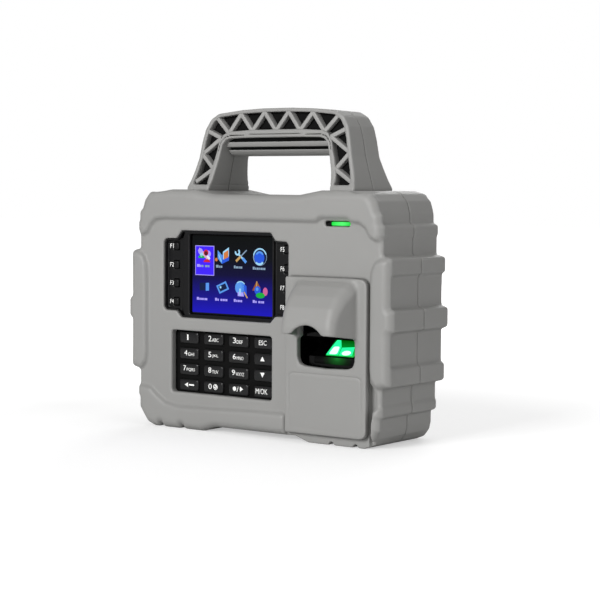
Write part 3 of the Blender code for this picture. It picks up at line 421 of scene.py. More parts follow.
# Edge wear and crease shade: pale where a raised edge is rubbed, and painted shade that darkens the grooves
# and creases
edge_wear_and_crease_shade, ends_in, ends_out = effect_group(
    "edge_wear_and_crease_shade", (("Color", "NodeSocketColor", (0.5, 0.5, 0.5, 1.0)), ("Rubbed", "NodeSocketFloat", 0.15),
                  ("Crease shade", "NodeSocketFloat", 0.25)),
    (("Color", "NodeSocketColor"), ("Edges", "NodeSocketFloat")))
shape = node(edge_wear_and_crease_shade, "ShaderNodeNewGeometry")
rubbed = node(edge_wear_and_crease_shade, "ShaderNodeMapRange", (("From Min", 0.515), ("From Max", 0.62)))
# Painted shade: hollow places such as grooves and creases are given a darker colour
crease_mask = node(edge_wear_and_crease_shade, "ShaderNodeMapRange", (("From Min", 0.49), ("From Max", 0.40)))
patches = node(edge_wear_and_crease_shade, "ShaderNodeTexNoise", (("Scale", 55.0), ("Detail", 4.0)))
place = node(edge_wear_and_crease_shade, "ShaderNodeTexCoord")
worn = node(edge_wear_and_crease_shade, "ShaderNodeMath", operation="MULTIPLY")
worn_amount = node(edge_wear_and_crease_shade, "ShaderNodeMath", operation="MULTIPLY")
crease_shade_amount = node(edge_wear_and_crease_shade, "ShaderNodeMath", operation="MULTIPLY")
lighter = node(edge_wear_and_crease_shade, "ShaderNodeMix", ((7, (0.72, 0.71, 0.69, 1.0)),), data_type="RGBA")
darker = node(edge_wear_and_crease_shade, "ShaderNodeMix", ((7, (0.05, 0.047, 0.042, 1.0)),), data_type="RGBA")
link = edge_wear_and_crease_shade.links.new
link(place.outputs["Object"], patches.inputs["Vector"])
link(shape.outputs["Pointiness"], rubbed.inputs["Value"])
link(shape.outputs["Pointiness"], crease_mask.inputs["Value"])
link(rubbed.outputs[0], worn.inputs[0])
link(patches.outputs["Fac"], worn.inputs[1])
link(worn.outputs[0], worn_amount.inputs[0])
link(ends_in.outputs["Rubbed"], worn_amount.inputs[1])
link(crease_mask.outputs[0], crease_shade_amount.inputs[0])
link(ends_in.outputs["Crease shade"], crease_shade_amount.inputs[1])
link(ends_in.outputs["Color"], lighter.inputs[6])
link(worn_amount.outputs[0], lighter.inputs[0])
link(lighter.outputs[2], darker.inputs[6])
link(crease_shade_amount.outputs[0], darker.inputs[0])
link(darker.outputs[2], ends_out.inputs["Color"])
link(worn_amount.outputs[0], ends_out.inputs["Edges"])


def moulded(name, colour, rough, bump, grains=1400.0, mottle=0.05, rub=0.15, crease_shade=0.25, **sockets):
    """A moulded plastic or rubber: grain in the bump, faint mottling, worn edges and painted shade in its
    grooves.
    """
    made = bpy.data.materials.new(name)
    made.use_nodes = True
    tree = made.node_tree
    shader = tree.nodes["Principled BSDF"]
    for key, value in sockets.items():
        shader.inputs[key.replace("_", " ")].default_value = value
    grain = node(tree, "ShaderNodeGroup", node_tree=moulded_grain)
    grain.inputs["Grains per metre"].default_value = grains
    wear_and_shade = node(tree, "ShaderNodeGroup", node_tree=edge_wear_and_crease_shade)
    wear_and_shade.inputs["Rubbed"].default_value = rub
    # This sets how much painted shade darkens the finish's grooves and creases
    wear_and_shade.inputs["Crease shade"].default_value = crease_shade
    place = node(tree, "ShaderNodeTexCoord")
    cloud = node(tree, "ShaderNodeTexNoise", (("Scale", 14.0), ("Detail", 5.0), ("Roughness", 0.6)))
    tint = node(tree, "ShaderNodeMix", ((6, tuple(c * (1 - mottle) for c in colour) + (1.0,)),
                                        (7, tuple(min(1.0, c * (1 + mottle)) for c in colour) + (1.0,))),
                data_type="RGBA")
    sheen = node(tree, "ShaderNodeMapRange", (("To Min", rough - 0.05), ("To Max", rough + 0.07)))
    relief = node(tree, "ShaderNodeBump", (("Strength", 1.0), ("Distance", bump)))
    link = tree.links.new
    link(place.outputs["Object"], cloud.inputs["Vector"])
    link(cloud.outputs["Fac"], tint.inputs[0])
    link(tint.outputs[2], wear_and_shade.inputs["Color"])
    link(wear_and_shade.outputs["Color"], shader.inputs["Base Color"])
    link(cloud.outputs["Fac"], sheen.inputs["Value"])
    link(sheen.outputs[0], shader.inputs["Roughness"])
    link(grain.outputs["Height"], relief.inputs["Height"])
    link(relief.outputs["Normal"], shader.inputs["Normal"])
    return made


CASE_GREY = (0.270, 0.268, 0.260)
soft_grey = moulded("soft_touch_grey", CASE_GREY, 0.52, bump=0.00005)
front_case_mesh.materials.append(soft_grey)
piece("front_case", front_case_mesh, "terminal", "shell_grey", "front_shell")

# ---- Rear half of the case -------------------------------------------------------------
# The same grey moulding as the front, closed by a plain back with six screw recesses, slots over
# the speaker, a shallow bay for the sockets and a round hole for the power button.
SCREWS = [(side * x, z) for side in (-1, 1) for x, z in ((86.0, 17.0), (93.0, 83.0), (86.0, 148.0))]
BAY = ((-30.0, 30.0), (30.0, 46.0))
POWER = (45.0, 38.0)


def round_field(block, x, z, radius):
    """The inside of a round hole or boss that runs straight back."""
    return np.hypot(block.x - x, block.z - z) - radius


clay = Clay((-116.0, 12.0, -3.0), (116.0, 49.0, 170.0), STEP)
case = slab(clay.front(filleted(case_outline(), 2.0)), clay.y, AHEAD, BACK, 6.0)
frame_line = abs(clay.front(rounded_box((-84.0, 84.0), (11.5, 156.5), 9.0))) - 0.9
case = cut(case, common(frame_line, BACK - 1.1 - clay.y), 1.0)
case = cut(case, slab(clay.front(room), clay.y, AHEAD, 42.8, 2.0))
for x, z in SCREWS:
    case = join(case, common(round_field(clay, x, z, 5.6), clay.y - 43.5), 1.5)
    case = cut(case, common(round_field(clay, x, z, 3.8), 41.2 - clay.y), 0.8)
    case = cut(case, round_field(clay, x, z, 1.9))
for i in range(5):
    slot_outline = rounded_box((-11.2, 11.2), (114.8 + 4.4 * i, 117.0 + 4.4 * i), 1.0)
    case = cut(case, clay.front(slot_outline), 0.5)
case = cut(case, slab(clay.front(rounded_box(*BAY, 1.2)), clay.y, BACK - 3.0, BEHIND), 0.7)
case = cut(case, slab(clay.front(rounded_box((-21.5, -7.3), (35.0, 42.4), 0.8)), clay.y, 0.0, BEHIND))
case = cut(case, round_field(clay, 15.0, 38.7, 4.6))
case = cut(case, round_field(clay, *POWER, 5.5), 0.8)
case = common(case, PARTING + 0.15 - clay.y, 0.5)
rear_case_mesh = clay.skin(case, "rear_case", 0.34)
rear_case_mesh.materials.append(soft_grey)
piece("rear_case", rear_case_mesh, "terminal", "shell_grey", "rear_shell")

# Six recessed cross-head screws hold the two halves together.
def geometry_tree(name, inputs):
    """An empty Geometry Nodes tree with named inputs: its tree, and its two end nodes."""
    tree = bpy.data.node_groups.new(name, "GeometryNodeTree")
    tree.interface.new_socket(name="Geometry", in_out="INPUT", socket_type="NodeSocketGeometry")
    for label, kind, value in inputs:
        socket = tree.interface.new_socket(name=label, in_out="INPUT", socket_type=kind)
        if value is not None:
            socket.default_value = value
    tree.interface.new_socket(name="Geometry", in_out="OUTPUT", socket_type="NodeSocketGeometry")
    return tree, tree.nodes.new("NodeGroupInput"), tree.nodes.new("NodeGroupOutput")


def grown(tree, base, values, name):
    """The mesh a tree makes from a base mesh, with its named inputs set."""
    carrier = bpy.data.objects.new(name, base)
    scene.collection.objects.link(carrier)
    change = carrier.modifiers.new("Grown", "NODES")
    change.node_group = tree
    for item in tree.interface.items_tree:
        if item.item_type == "SOCKET" and item.in_out == "INPUT" and item.name in values:
            change[item.identifier] = values[item.name]
    mesh = bpy.data.meshes.new_from_object(carrier.evaluated_get(bpy.context.evaluated_depsgraph_get()))
    mesh.name = name
    bpy.data.objects.remove(carrier)
    return mesh


def points_mesh(name, points, edges=()):
    """A mesh of bare points, or of points joined by edges, for a Geometry Nodes tree to build on."""
    mesh = bpy.data.meshes.new(name)
    mesh.from_pydata([tuple(c * 0.001 for c in p) for p in points], list(edges), [])
    return mesh


plated_steel = moulded("plated_steel", (0.55, 0.55, 0.56), 0.28, grains=3000.0, bump=0.000006, rub=0.3,
                       crease_shade=0.5, Metallic=1.0)
tree, tree_in, tree_out = geometry_tree("screw_heads", (
    ("Head radius", "NodeSocketFloat", 0.0034), ("Head height", "NodeSocketFloat", 0.0022),
    ("Recess", "NodeSocketFloat", 0.0012), ("Finish", "NodeSocketMaterial", None)))
disc = node(tree, "GeometryNodeMeshCylinder", (("Vertices", 32), ("Side Segments", 1), ("Fill Segments", 1)))
crown = node(tree, "GeometryNodeMeshUVSphere", (("Segments", 32), ("Rings", 16)))
crown_place = node(tree, "GeometryNodeTransform", (("Scale", (1.0, 1.0, 0.62)),))
head = node(tree, "GeometryNodeMeshBoolean", operation="INTERSECT")
bar = node(tree, "GeometryNodeMeshCube", (("Size", (0.0042, 0.00078, 0.0030)),))
bar_place = node(tree, "GeometryNodeTransform", (("Translation", (0.0, 0.0, 0.0021)),))
bar_turned = node(tree, "GeometryNodeTransform", (("Rotation", (0.0, 0.0, math.pi / 2)),))
recessed = node(tree, "GeometryNodeMeshBoolean", operation="DIFFERENCE")
facing = node(tree, "GeometryNodeTransform", (("Rotation", (-math.pi / 2, 0.0, 0.0)),))
turned_each = node(tree, "FunctionNodeRandomValue", (), data_type="FLOAT")
turned_each.inputs["Seed"].default_value = 7
turned_each.inputs[3].default_value = 3.1
spin = node(tree, "ShaderNodeCombineXYZ")
set_out = node(tree, "GeometryNodeInstanceOnPoints")
real = node(tree, "GeometryNodeRealizeInstances")
painted = node(tree, "GeometryNodeSetMaterial")
link = tree.links.new
link(tree_in.outputs["Head radius"], disc.inputs["Radius"])
link(tree_in.outputs["Head height"], disc.inputs["Depth"])
link(tree_in.outputs["Head radius"], crown.inputs["Radius"])
link(crown.outputs["Mesh"], crown_place.inputs["Geometry"])
link(disc.outputs["Mesh"], head.inputs["Mesh 2"])
link(crown_place.outputs["Geometry"], head.inputs["Mesh 2"])
link(bar.outputs["Mesh"], bar_place.inputs["Geometry"])
link(bar_place.outputs["Geometry"], bar_turned.inputs["Geometry"])
link(head.outputs["Mesh"], recessed.inputs["Mesh 1"])
link(bar_place.outputs["Geometry"], recessed.inputs["Mesh 2"])
link(bar_turned.outputs["Geometry"], recessed.inputs["Mesh 2"])
link(recessed.outputs["Mesh"], facing.inputs["Geometry"])
link(turned_each.outputs[1], spin.inputs["Y"])
link(tree_in.outputs["Geometry"], set_out.inputs["Points"])
link(facing.outputs["Geometry"], set_out.inputs["Instance"])
link(spin.outputs["Vector"], set_out.inputs["Rotation"])
link(set_out.outputs["Instances"], real.inputs["Geometry"])
link(real.outputs["Geometry"], painted.inputs["Geometry"])
link(tree_in.outputs["Finish"], painted.inputs["Material"])
link(painted.outputs["Geometry"], tree_out.inputs["Geometry"])
heads = grown(tree, points_mesh("screw_places", [(x, 42.4, z) for x, z in SCREWS]),
              {"Finish": plated_steel}, "case_screw_heads")
piece("case_screw_heads", heads, "terminal", "steel", *[f"case_screw_{i + 1}" for i in range(6)])

# ---- Carrying handle -------------------------------------------------------------------
# Two arch-shaped mouldings in the same grey, closed over a black core plate. Each is an open frame:
# an outer rim and an inner band, held apart by a zigzag of thin ribs with a black lining behind them.
OUTER_RIM = [(72.4, TOP - 0.8), (70.4, 172.0), (68.6, 178.0), (65.4, 189.0), (63.4, 200.0), (61.2, 208.6),
             (56.8, 215.6), (50.4, 219.2), (30.0, 221.3), (12.0, 222.1)]
INNER_RIM = [(53.0, 150.0), (52.2, TOP - 0.8), (51.0, 172.0), (49.9, 178.0), (48.2, 185.0), (46.6, 191.0),
             (45.2, 197.4), (42.4, 200.8), (38.0, 201.9), (20.0, 202.2)]
POCKET_OUT = [(67.8, 170.0), (65.6, 177.0), (62.2, 189.0), (60.2, 200.0), (57.9, 207.8), (54.4, 213.4),
              (49.0, 216.8), (30.8, 218.7), (10.0, 219.5)]
POCKET_IN = [(54.9, 170.0), (54.3, 177.0), (51.9, 186.0), (49.9, 192.5), (48.2, 199.6), (45.0, 204.6),
             (40.0, 206.6), (20.0, 207.6)]
LEAN = ((-8.1, 150.0), (-8.1, 167.5), (-5.2, 174.0), (-3.6, 180.0), (-2.2, 188.0), (-1.2, 200.0),
        (0.9, 218.0), (1.4, 230.0))
REAR_LEAN = ((37.9, 150.0), (37.9, 167.5), (35.0, 174.0), (33.2, 180.0), (31.1, 188.0), (30.9, 200.0),
             (30.3, 218.0), (30.1, 230.0))
CORE = 1.2              # half the core plate's thickness
CORE_INSET = 1.4        # how far its edge lies inside the handle's
LINER_DEEP = 5.0        # depth of the black lining behind the frame's face


def both_sides(half):
    """A closed outline from its right half, listed from the bottom to the middle of the top."""
    return list(half) + [(-x, z) for x, z in reversed(half)]


def handle_half(front):
    """The frame of one half, leaning as it rises, with its pockets and grip line, and its black lining."""
    sign = -1.0 if front else 1.0
    y = (-11.0, PARTING + 1.0) if front else (PARTING - 1.0, 41.0)
    block = Clay((-73.0, y[0], 163.0), (73.0, y[1], 225.0), 0.62)
    arch = block.front(filleted(both_sides(OUTER_RIM), 6.0))
    gap = block.front(filleted(both_sides(INNER_RIM), 3.0))
    lean = list(LEAN if front else REAR_LEAN)
    face = block.side(filleted(lean + [(PARTING - sign * 30.0, 230.0), (PARTING - sign * 30.0, 150.0)], 9.0))
    shape = common(cut(arch, gap, 1.0), face, 1.2)
    ring = cut(block.front(filleted(both_sides(POCKET_OUT), 2.0)),
               block.front(filleted(both_sides(POCKET_IN), 2.0)))
    ring = common(ring, 170.0 - block.z)
    shape = cut(shape, ring, 0.9)
    grip_line = abs(gap - 2.1) - 0.28
    shape = cut(shape, common(common(grip_line, 193.0 - block.z), face - 1.2), 0.3)
    shape = common(shape, sign * (PARTING - block.y) + 0.15, 0.4)
    seat = cut(arch + CORE_INSET, gap - CORE_INSET)
    shape = cut(shape, np.maximum(seat, abs(block.y - PARTING) - CORE - 0.3))
    shape = common(shape, TOP - 0.8 - block.z)
    name = "handle_front" if front else "handle_rear"
    liner = common(common(ring + 0.1, face + LINER_DEEP), sign * (PARTING - block.y) + CORE + 0.1)
    return block.skin(shape, name, 0.45), block.skin(liner, name + "_liner", 0.3)


RIM_NODES = ((10.3, 219.9), (30.8, 219.1), (51.6, 216.2), (60.0, 207.6), (63.0, 191.5), (67.2, 172.0))
BAND_NODES = ((0.0, 207.0), (20.5, 206.9), (41.0, 205.8), (47.0, 202.2), (52.4, 181.0))
tree, tree_in, tree_out = geometry_tree("handle_ribs", (
    ("Thickness", "NodeSocketFloat", 0.0029), ("Depth", "NodeSocketFloat", 0.0100),
    ("Corner", "NodeSocketFloat", 0.0006), ("Finish", "NodeSocketMaterial", None)))
line = node(tree, "GeometryNodeMeshToCurve")
upright_curve = node(tree, "GeometryNodeSetCurveNormal")
upright_curve.mode = "Z_UP"
section = node(tree, "GeometryNodeCurvePrimitiveQuadrilateral")
rounded = node(tree, "GeometryNodeFilletCurve", (("Count", 3),), mode="POLY")
rib = node(tree, "GeometryNodeCurveToMesh", (("Fill Caps", True),))
painted = node(tree, "GeometryNodeSetMaterial")
real = node(tree, "GeometryNodeRealizeInstances")
link = tree.links.new
link(tree_in.outputs["Geometry"], line.inputs["Mesh"])
link(line.outputs["Curve"], upright_curve.inputs["Curve"])
link(tree_in.outputs["Depth"], section.inputs["Width"])
link(tree_in.outputs["Thickness"], section.inputs["Height"])
link(section.outputs["Curve"], rounded.inputs["Curve"])
link(tree_in.outputs["Corner"], rounded.inputs["Radius"])
link(upright_curve.outputs["Curve"], rib.inputs["Curve"])
link(rounded.outputs["Curve"], rib.inputs["Profile Curve"])
link(rib.outputs["Mesh"], real.inputs["Geometry"])
link(real.outputs["Geometry"], painted.inputs["Geometry"])
link(tree_in.outputs["Finish"], painted.inputs["Material"])
link(painted.outputs["Geometry"], tree_out.inputs["Geometry"])


def rib_lines():
    """The two ends, as (x, z), of each rib in the zigzags down both legs and along the top."""
    legs = [RIM_NODES[5], BAND_NODES[4], RIM_NODES[4], BAND_NODES[3], RIM_NODES[3]]
    top = [RIM_NODES[2], BAND_NODES[2], RIM_NODES[1], BAND_NODES[1], RIM_NODES[0], BAND_NODES[0]]
    top += [(-x, z) for x, z in reversed(top[:-1])]
    chains = (legs, [(-x, z) for x, z in legs], top)
    return [pair for chain in chains for pair in zip(chain, chain[1:])]


def ribs(front):
    """The ribs of one half as one mesh; each runs from just in front of the core to the leaning face."""
    made = []
    lean = LEAN if front else REAR_LEAN
    for a, b in rib_lines():
        ends = []
        for x, z in (a, b):
            face = float(np.interp(z, [p[1] for p in lean], [p[0] for p in lean]))
            face += 0.5 if front else -0.5
            near_core = PARTING - CORE - 0.3 if front else PARTING + CORE + 0.3
            ends.append((x, (face + near_core) / 2, z, abs(near_core - face)))
        deep = min(e[3] for e in ends)
        base = points_mesh("rib_line", [e[:3] for e in ends], [(0, 1)])
        made.append(grown(tree, base, {"Depth": deep * 0.001, "Thickness": 0.0029, "Finish": soft_grey},
                          "rib"))
    return merged(made, "handle_ribs_" + ("front" if front else "rear"))


def merged(meshes, name):
    """Several meshes made one, each keeping its finish."""
    bm = bmesh.new()
    finishes = []
    for mesh in meshes:
        for finish in mesh.materials:
            if finish not in finishes:
                finishes.append(finish)
        start = len(bm.faces)
        bm.from_mesh(mesh)
        bm.faces.ensure_lookup_table()
        for face in bm.faces[start:]:
            face.material_index = finishes.index(mesh.materials[face.material_index]) if mesh.materials else 0
    made = bpy.data.meshes.new(name)
    bm.to_mesh(made)
    bm.free()
    for finish in finishes:
        made.materials.append(finish)
    return made


satin_black = moulded("satin_black", (0.006, 0.006, 0.0065), 0.36, bump=0.00002, mottle=0.2, rub=0.03,
                      crease_shade=0.0, Specular_IOR_Level=0.2)
core_black = moulded("core_black", (0.0035, 0.0035, 0.0035), 0.7, bump=0.00003, mottle=0.2, rub=0.0,
                     crease_shade=0.0, Specular_IOR_Level=0.08)

for half, front in (("front", True), ("rear", False)):
    arch_mesh, liner_mesh = handle_half(front)
    arch_mesh.materials.append(soft_grey)
    liner_mesh.materials.append(core_black)
    piece(f"handle_{half}_frame", arch_mesh, "terminal", "shell_grey", f"handle_{half}")
    piece(f"handle_{half}_ribs", ribs(front), "terminal", "shell_grey")
    piece(f"handle_{half}_lining", liner_mesh, "terminal", "black_plastic")

for holder in nodes["handle_core"].material_slots:
    holder.material = core_black

# ---- Grip pad --------------------------------------------------------------------------
# A soft ridged bar under the top of the handle: a black core that shows in its grooves, and two
# grey ridges that run the width of the hand gap and curve in at their ends.
def lofted(rings, name):
    """A closed skin over rings with the same number of points, its two ends filled."""
    bm = bmesh.new()
    loops = [[bm.verts.new(tuple(c * 0.001 for c in p)) for p in ring] for ring in rings]
    for a, b in zip(loops, loops[1:]):
        for i in range(len(a)):
            j = (i + 1) % len(a)
            bm.faces.new((a[i], a[j], b[j], b[i]))
    bm.faces.new(loops[0][::-1])
    bm.faces.new(loops[-1])
    bmesh.ops.recalc_face_normals(bm, faces=bm.faces)
    mesh = bpy.data.meshes.new(name)
    bm.to_mesh(mesh)
    bm.free()
    mesh.shade_smooth()
    mesh.set_sharp_from_angle(angle=math.radians(38))
    return mesh


block = Clay((-50.0, -2.0, 185.5), (50.0, 31.0, 207.5), 0.6)
grip_section = np.hypot(block.y - PARTING, (block.z - 204.5) * 0.83) - 12.2
ends = block.front(filleted(both_sides([(44.5, 180.0), (46.6, 196.8), (43.6, 200.4), (38.2, 202.6),
                                        (20.0, 203.0)]), 2.0))
bow = 188.6 - 0.9 * np.cos(block.x / 28.0) - block.z
bar = common(common(grip_section, ends, 1.0), bow, 1.2)
ridges = bar
for low, high in ((199.5, 204.6), (194.1, 196.0)):
    ridges = cut(ridges, np.maximum(low - block.z, block.z - high), 0.6)
ridge_mesh = block.skin(ridges, "grip_ridges", 0.5)
ridge_mesh.materials.append(soft_grey)
core = common(common(grip_section + 1.9, abs(block.x) - 44.6, 1.0), np.maximum(bow + 1.9, block.z - 205.4))
core_mesh = block.skin(core, "grip_core", 0.5)
core_mesh.materials.append(core_black)
piece("grip_ridges", ridge_mesh, "terminal", "shell_grey", "grip_pad")
piece("grip_core", core_mesh, "terminal", "black_plastic")

# ---- Scanner panel and finger hood -----------------------------------------------------
# A separate grey plate, clipped into the front, that hangs a little below the case. Its hood sweeps
# out over the finger bay and has an arched notch in its lip; a shallow outline is pressed below.
PANEL_FACE, PANEL_REAR = -24.8, -20.2
HOOD_MIDDLE, HOOD_REACH = 61.8, -47.0
block = Clay((26.5, -49.0, 5.0), (96.5, -18.0, 112.0), 0.6)
plan = common(block.front(rounded_box((10.0, 94.0), (6.4, 109.8), 6.2)), 28.5 - block.x, 1.2)
plate = slab(plan, block.y, PANEL_FACE, PANEL_REAR, 1.0)
hood_profile = filleted([
    (-21.0, 109.4), (-24.4, 108.8), (-31.6, 104.6), (-38.4, 98.6), (-43.4, 91.4), (-46.2, 84.0),
    (HOOD_REACH, 78.5), (HOOD_REACH, 50.0), (-21.0, 50.0)], 5.0)
hollow_profile = filleted([
    (-21.0, 106.6), (-24.0, 106.0), (-30.2, 102.2), (-36.6, 96.6), (-41.2, 90.0), (-43.8, 83.2),
    (-44.6, 78.5), (-44.6, 50.0), (-21.0, 50.0)], 4.0)
spread = 25.2 - (PANEL_FACE - block.y) * 0.200
flank = (abs(block.x - HOOD_MIDDLE) - spread) * 0.98
soft = 5.0 + 3.0 * np.clip((block.z - 76.0) / 26.0, 0.0, 1.0)
bulge = common(block.side(hood_profile), flank, soft)
underside = 71.2 + (PANEL_FACE - block.y) * 0.13 - block.z
panel = join(plate, common(bulge, underside, 0.5), 2.2)
hollow = common(block.side(hollow_profile), flank + 2.4, 5.0)
panel = cut(panel, common(hollow, block.y - (PANEL_FACE + 0.2)), 0.5)
mouth = [(38.6, 71.0), (38.6, 57.2), (40.4, 52.6), (45.0, 51.3), (61.8, 50.5), (78.6, 51.2), (83.0, 52.4),
         (84.9, 57.0), (84.9, 71.0)]
panel = cut(panel, slab(block.front(filleted(mouth, 3.4)), block.y, -26.5, 0.0), 1.0)
panel = cut(panel, slab(block.front(rounded_box((40.6, 83.0), (66.0, 79.0), 2.0)), block.y,
                        PANEL_FACE - 0.6, 0.0), 0.6)
notch = np.hypot(block.x - HOOD_MIDDLE, block.z - 65.0) - 14.8
panel = cut(panel, np.maximum(notch, block.y + 33.0), 2.4)
card = abs(block.front(filleted([(90.2, 10.6), (90.2, 46.2), (31.8, 46.2), (31.8, 10.6)], 3.6))) - 0.3
fade = 0.42 * np.clip((block.z - 12.0) / 14.0, 0.0, 1.0)
panel = cut(panel, np.maximum(card, block.y - (PANEL_FACE + fade)), 0.3)
panel_mesh = block.skin(panel, "scanner_panel_shell", 0.5)
panel_mesh.materials.append(soft_grey)
piece("scanner_panel_shell", panel_mesh, "terminal", "shell_grey", "scanner_panel")

# ---- Finger sensor ---------------------------------------------------------------------
# A glossy black well behind the panel. In it a slope of polished glass is lit green from below, and
# a low ledge in front of it catches some of that light.
gloss_black = moulded("gloss_black", (0.001, 0.001, 0.001), 0.12, bump=0.000004, mottle=0.2, rub=0.0,
                      crease_shade=0.0, Specular_IOR_Level=0.16)
for holder in nodes["sensor_well"].material_slots:
    holder.material = gloss_black


def lit(name, colour, power, low=None, high=None, axis="Z", base=(0.002, 0.002, 0.002)):
    """A lit surface: one colour, or a ramp of colours along an axis or outward from a point."""
    made = bpy.data.materials.new(name)
    made.use_nodes = True
    tree = made.node_tree
    shader = tree.nodes["Principled BSDF"]
    shader.inputs["Base Color"].default_value = (*base, 1.0)
    shader.inputs["Roughness"].default_value = 0.25
    shader.inputs["Specular IOR Level"].default_value = 0.1
    shader.inputs["Emission Strength"].default_value = power
    if low is None:
        shader.inputs["Emission Color"].default_value = (*colour, 1.0)
        return made
    place = node(tree, "ShaderNodeTexCoord")
    split = node(tree, "ShaderNodeSeparateXYZ")
    apart = node(tree, "ShaderNodeVectorMath", ((1, (0.0, 0.0, 0.0) if isinstance(axis, str) else axis),),
                 operation="DISTANCE")
    along = node(tree, "ShaderNodeMapRange", (("From Min", low), ("From Max", high)))
    ramp = node(tree, "ShaderNodeValToRGB")
    stops = ramp.color_ramp.elements
    while len(stops) < len(colour):
        stops.new(0.5)
    for stop, (at, shade) in zip(stops, colour):
        stop.position, stop.color = at, (*shade, 1.0)
    link = tree.links.new
    link(place.outputs["Object"], split.inputs[0])
    link(place.outputs["Object"], apart.inputs[0])
    link(split.outputs[axis] if isinstance(axis, str) else apart.outputs["Value"], along.inputs["Value"])
    link(along.outputs[0], ramp.inputs["Fac"])
    link(ramp.outputs["Color"], shader.inputs["Emission Color"])
    return made


def bevelled(mesh, width):
    """The same mesh with its sharp edges rounded over."""
    bm = bmesh.new()
    bm.from_mesh(mesh)
    sharp = [e for e in bm.edges if len(e.link_faces) == 2 and e.calc_face_angle() > math.radians(35)]
    bmesh.ops.bevel(bm, geom=sharp, offset=width * 0.001, segments=2, affect="EDGES", profile=0.5,
                    clamp_overlap=True)
    bmesh.ops.recalc_face_normals(bm, faces=bm.faces)
    bm.to_mesh(mesh)
    bm.free()
    mesh.shade_smooth()
    mesh.set_sharp_from_angle(angle=math.radians(40))
    return mesh


def drawn(outline, low, high, name, axis="y"):
    """An outline drawn straight back from low to high: (x, z) along y, or (y, z) along x."""
    at = (lambda a, b, t: (a, t, b)) if axis == "y" else (lambda a, b, t: (t, a, b))
    return lofted([[at(a, b, low) for a, b in outline], [at(a, b, high) for a, b in outline]], name)


def disc_outline(x, z, across, up=None, count=24, start=0.0, end=math.tau):
    """A round or oval outline, or part of one, as count points; across and up are its half sizes."""
    up = across if up is None else up
    whole = abs(end - start - math.tau) < 1e-6
    steps = count if whole else count - 1
    return [(x + across * math.cos(start + (end - start) * i / steps),
             z + up * math.sin(start + (end - start) * i / steps))
            for i in range(count)]


sensor_dim = lit("sensor_dim", ((0.0, (0.01, 0.55, 0.06)), (0.45, (0.0, 0.26, 0.02)),
                                (1.0, (0.0, 0.08, 0.0))), 1.0,
                 0.0586, 0.0678, base=(0.0, 0.05, 0.01))
GLASS_FRONT, GLASS_BACK, GLASS_LOW, GLASS_HIGH = -14.0, -2.6, 58.6, 67.8
platen = bevelled(drawn([(GLASS_FRONT, 55.1), (GLASS_BACK, 55.1), (GLASS_BACK, GLASS_HIGH),
                         (GLASS_FRONT, GLASS_LOW)],
                        54.4, 76.6, "sensor_platen", "x"), 0.3)
platen.materials.append(sensor_dim)
piece("sensor_platen", platen, "terminal", "green_glass", "sensor_prism")
sensor_bright = lit("sensor_bright", (0.02, 1.0, 0.34), 1.2)
sensor_white = lit("sensor_white", (0.62, 1.0, 0.80), 1.5)


def on_glass(outline, finish, lift):
    """A film cut to an outline given as (x, y), lying on the sloping glass."""
    steep = (GLASS_HIGH - GLASS_LOW) / (GLASS_BACK - GLASS_FRONT)
    top = [(x, y, GLASS_LOW + steep * (y - GLASS_FRONT) + lift) for x, y in outline]
    film = lofted([[(x, y, z - 0.03) for x, y, z in top], top], "glass_film")
    film.materials.append(finish)
    return film


spots = [
    on_glass([(54.6, -13.8), (64.2, -13.7), (62.7, -7.8), (59.0, -2.9), (55.8, -2.9), (55.0, -8.0)],
             sensor_bright, 0.04),
    on_glass([(64.9, -13.8), (75.2, -13.4), (73.0, -7.2), (63.4, -8.2)], sensor_bright, 0.04),
    on_glass(filleted([(56.2, -13.4), (63.0, -13.2), (61.2, -7.6), (56.8, -7.8)], 1.5), sensor_white, 0.08),
    on_glass(disc_outline(69.6, -11.9, 3.5, 1.7), sensor_white, 0.08)]
piece("sensor_spots", merged(spots, "sensor_spots"), "terminal", "green_glass")
# The ledge's green is painted light: a glow from the lit glass that fades out from a point near it
spill = lit("sensor_spill", ((0.0, (0.01, 0.22, 0.03)), (0.3, (0.001, 0.075, 0.006)),
                             (0.65, (0.0, 0.014, 0.001)), (1.0, (0.0, 0.0, 0.0))), 1.0,
            0.001, 0.0125, (0.0665, -0.0179, 0.0592))
ledge = bevelled(drawn(rounded_box((48.0, 78.6), (53.0, 57.5), 0.8), -17.95, -17.6, "sensor_ledge"), 0.1)
ledge.materials.append(spill)
piece("sensor_ledge", ledge, "terminal", "black_plastic")

# ---- Display -----------------------------------------------------------------------------
# A black bezel with a raised, rounded frame and two lower wings for the function keys. Behind its
# glossy window is a lit colour screen: eight menu pictures on black that turns blue lower down.
block = Clay((-83.0, -21.0, 75.0), (32.5, -13.0, 140.5), 0.5)
wings = slab(block.front(filleted([(28.6, 82.0), (28.6, 132.6), (-81.6, 132.8), (-81.6, 82.0)], 1.4)),
             block.y, -17.5, -14.6, 0.4)
edge = block.front(display_fillet)
wings = join(wings, slab(np.maximum(edge + 0.25, -1.15 - edge), block.y, -20.4, -15.0), 0.3)
raised = slab(block.front(filleted([(15.0, 82.2), (15.0, 133.6), (13.3, 137.5), (-63.3, 137.5),
                                    (-65.0, 133.6), (-65.0, 82.2), (-63.3, 78.3),
                                    (13.3, 78.3)], 2.4)), block.y, -19.7, -14.6, 1.0)
glazing = ((-59.0, 13.7), (80.3, 135.9))
F_COLUMNS, F_TOP, F_PITCH = (-72.5, 24.8), 127.1, 12.9      # centres of the function keys
F_LABELS = (-78.4, 19.2)                                    # where their printed labels begin
frame_shape = join(wings, raised, 0.8)
frame_shape = cut(frame_shape, slab(block.front(rounded_box(*glazing, 1.4)), block.y, AHEAD, -15.4), 0.6)
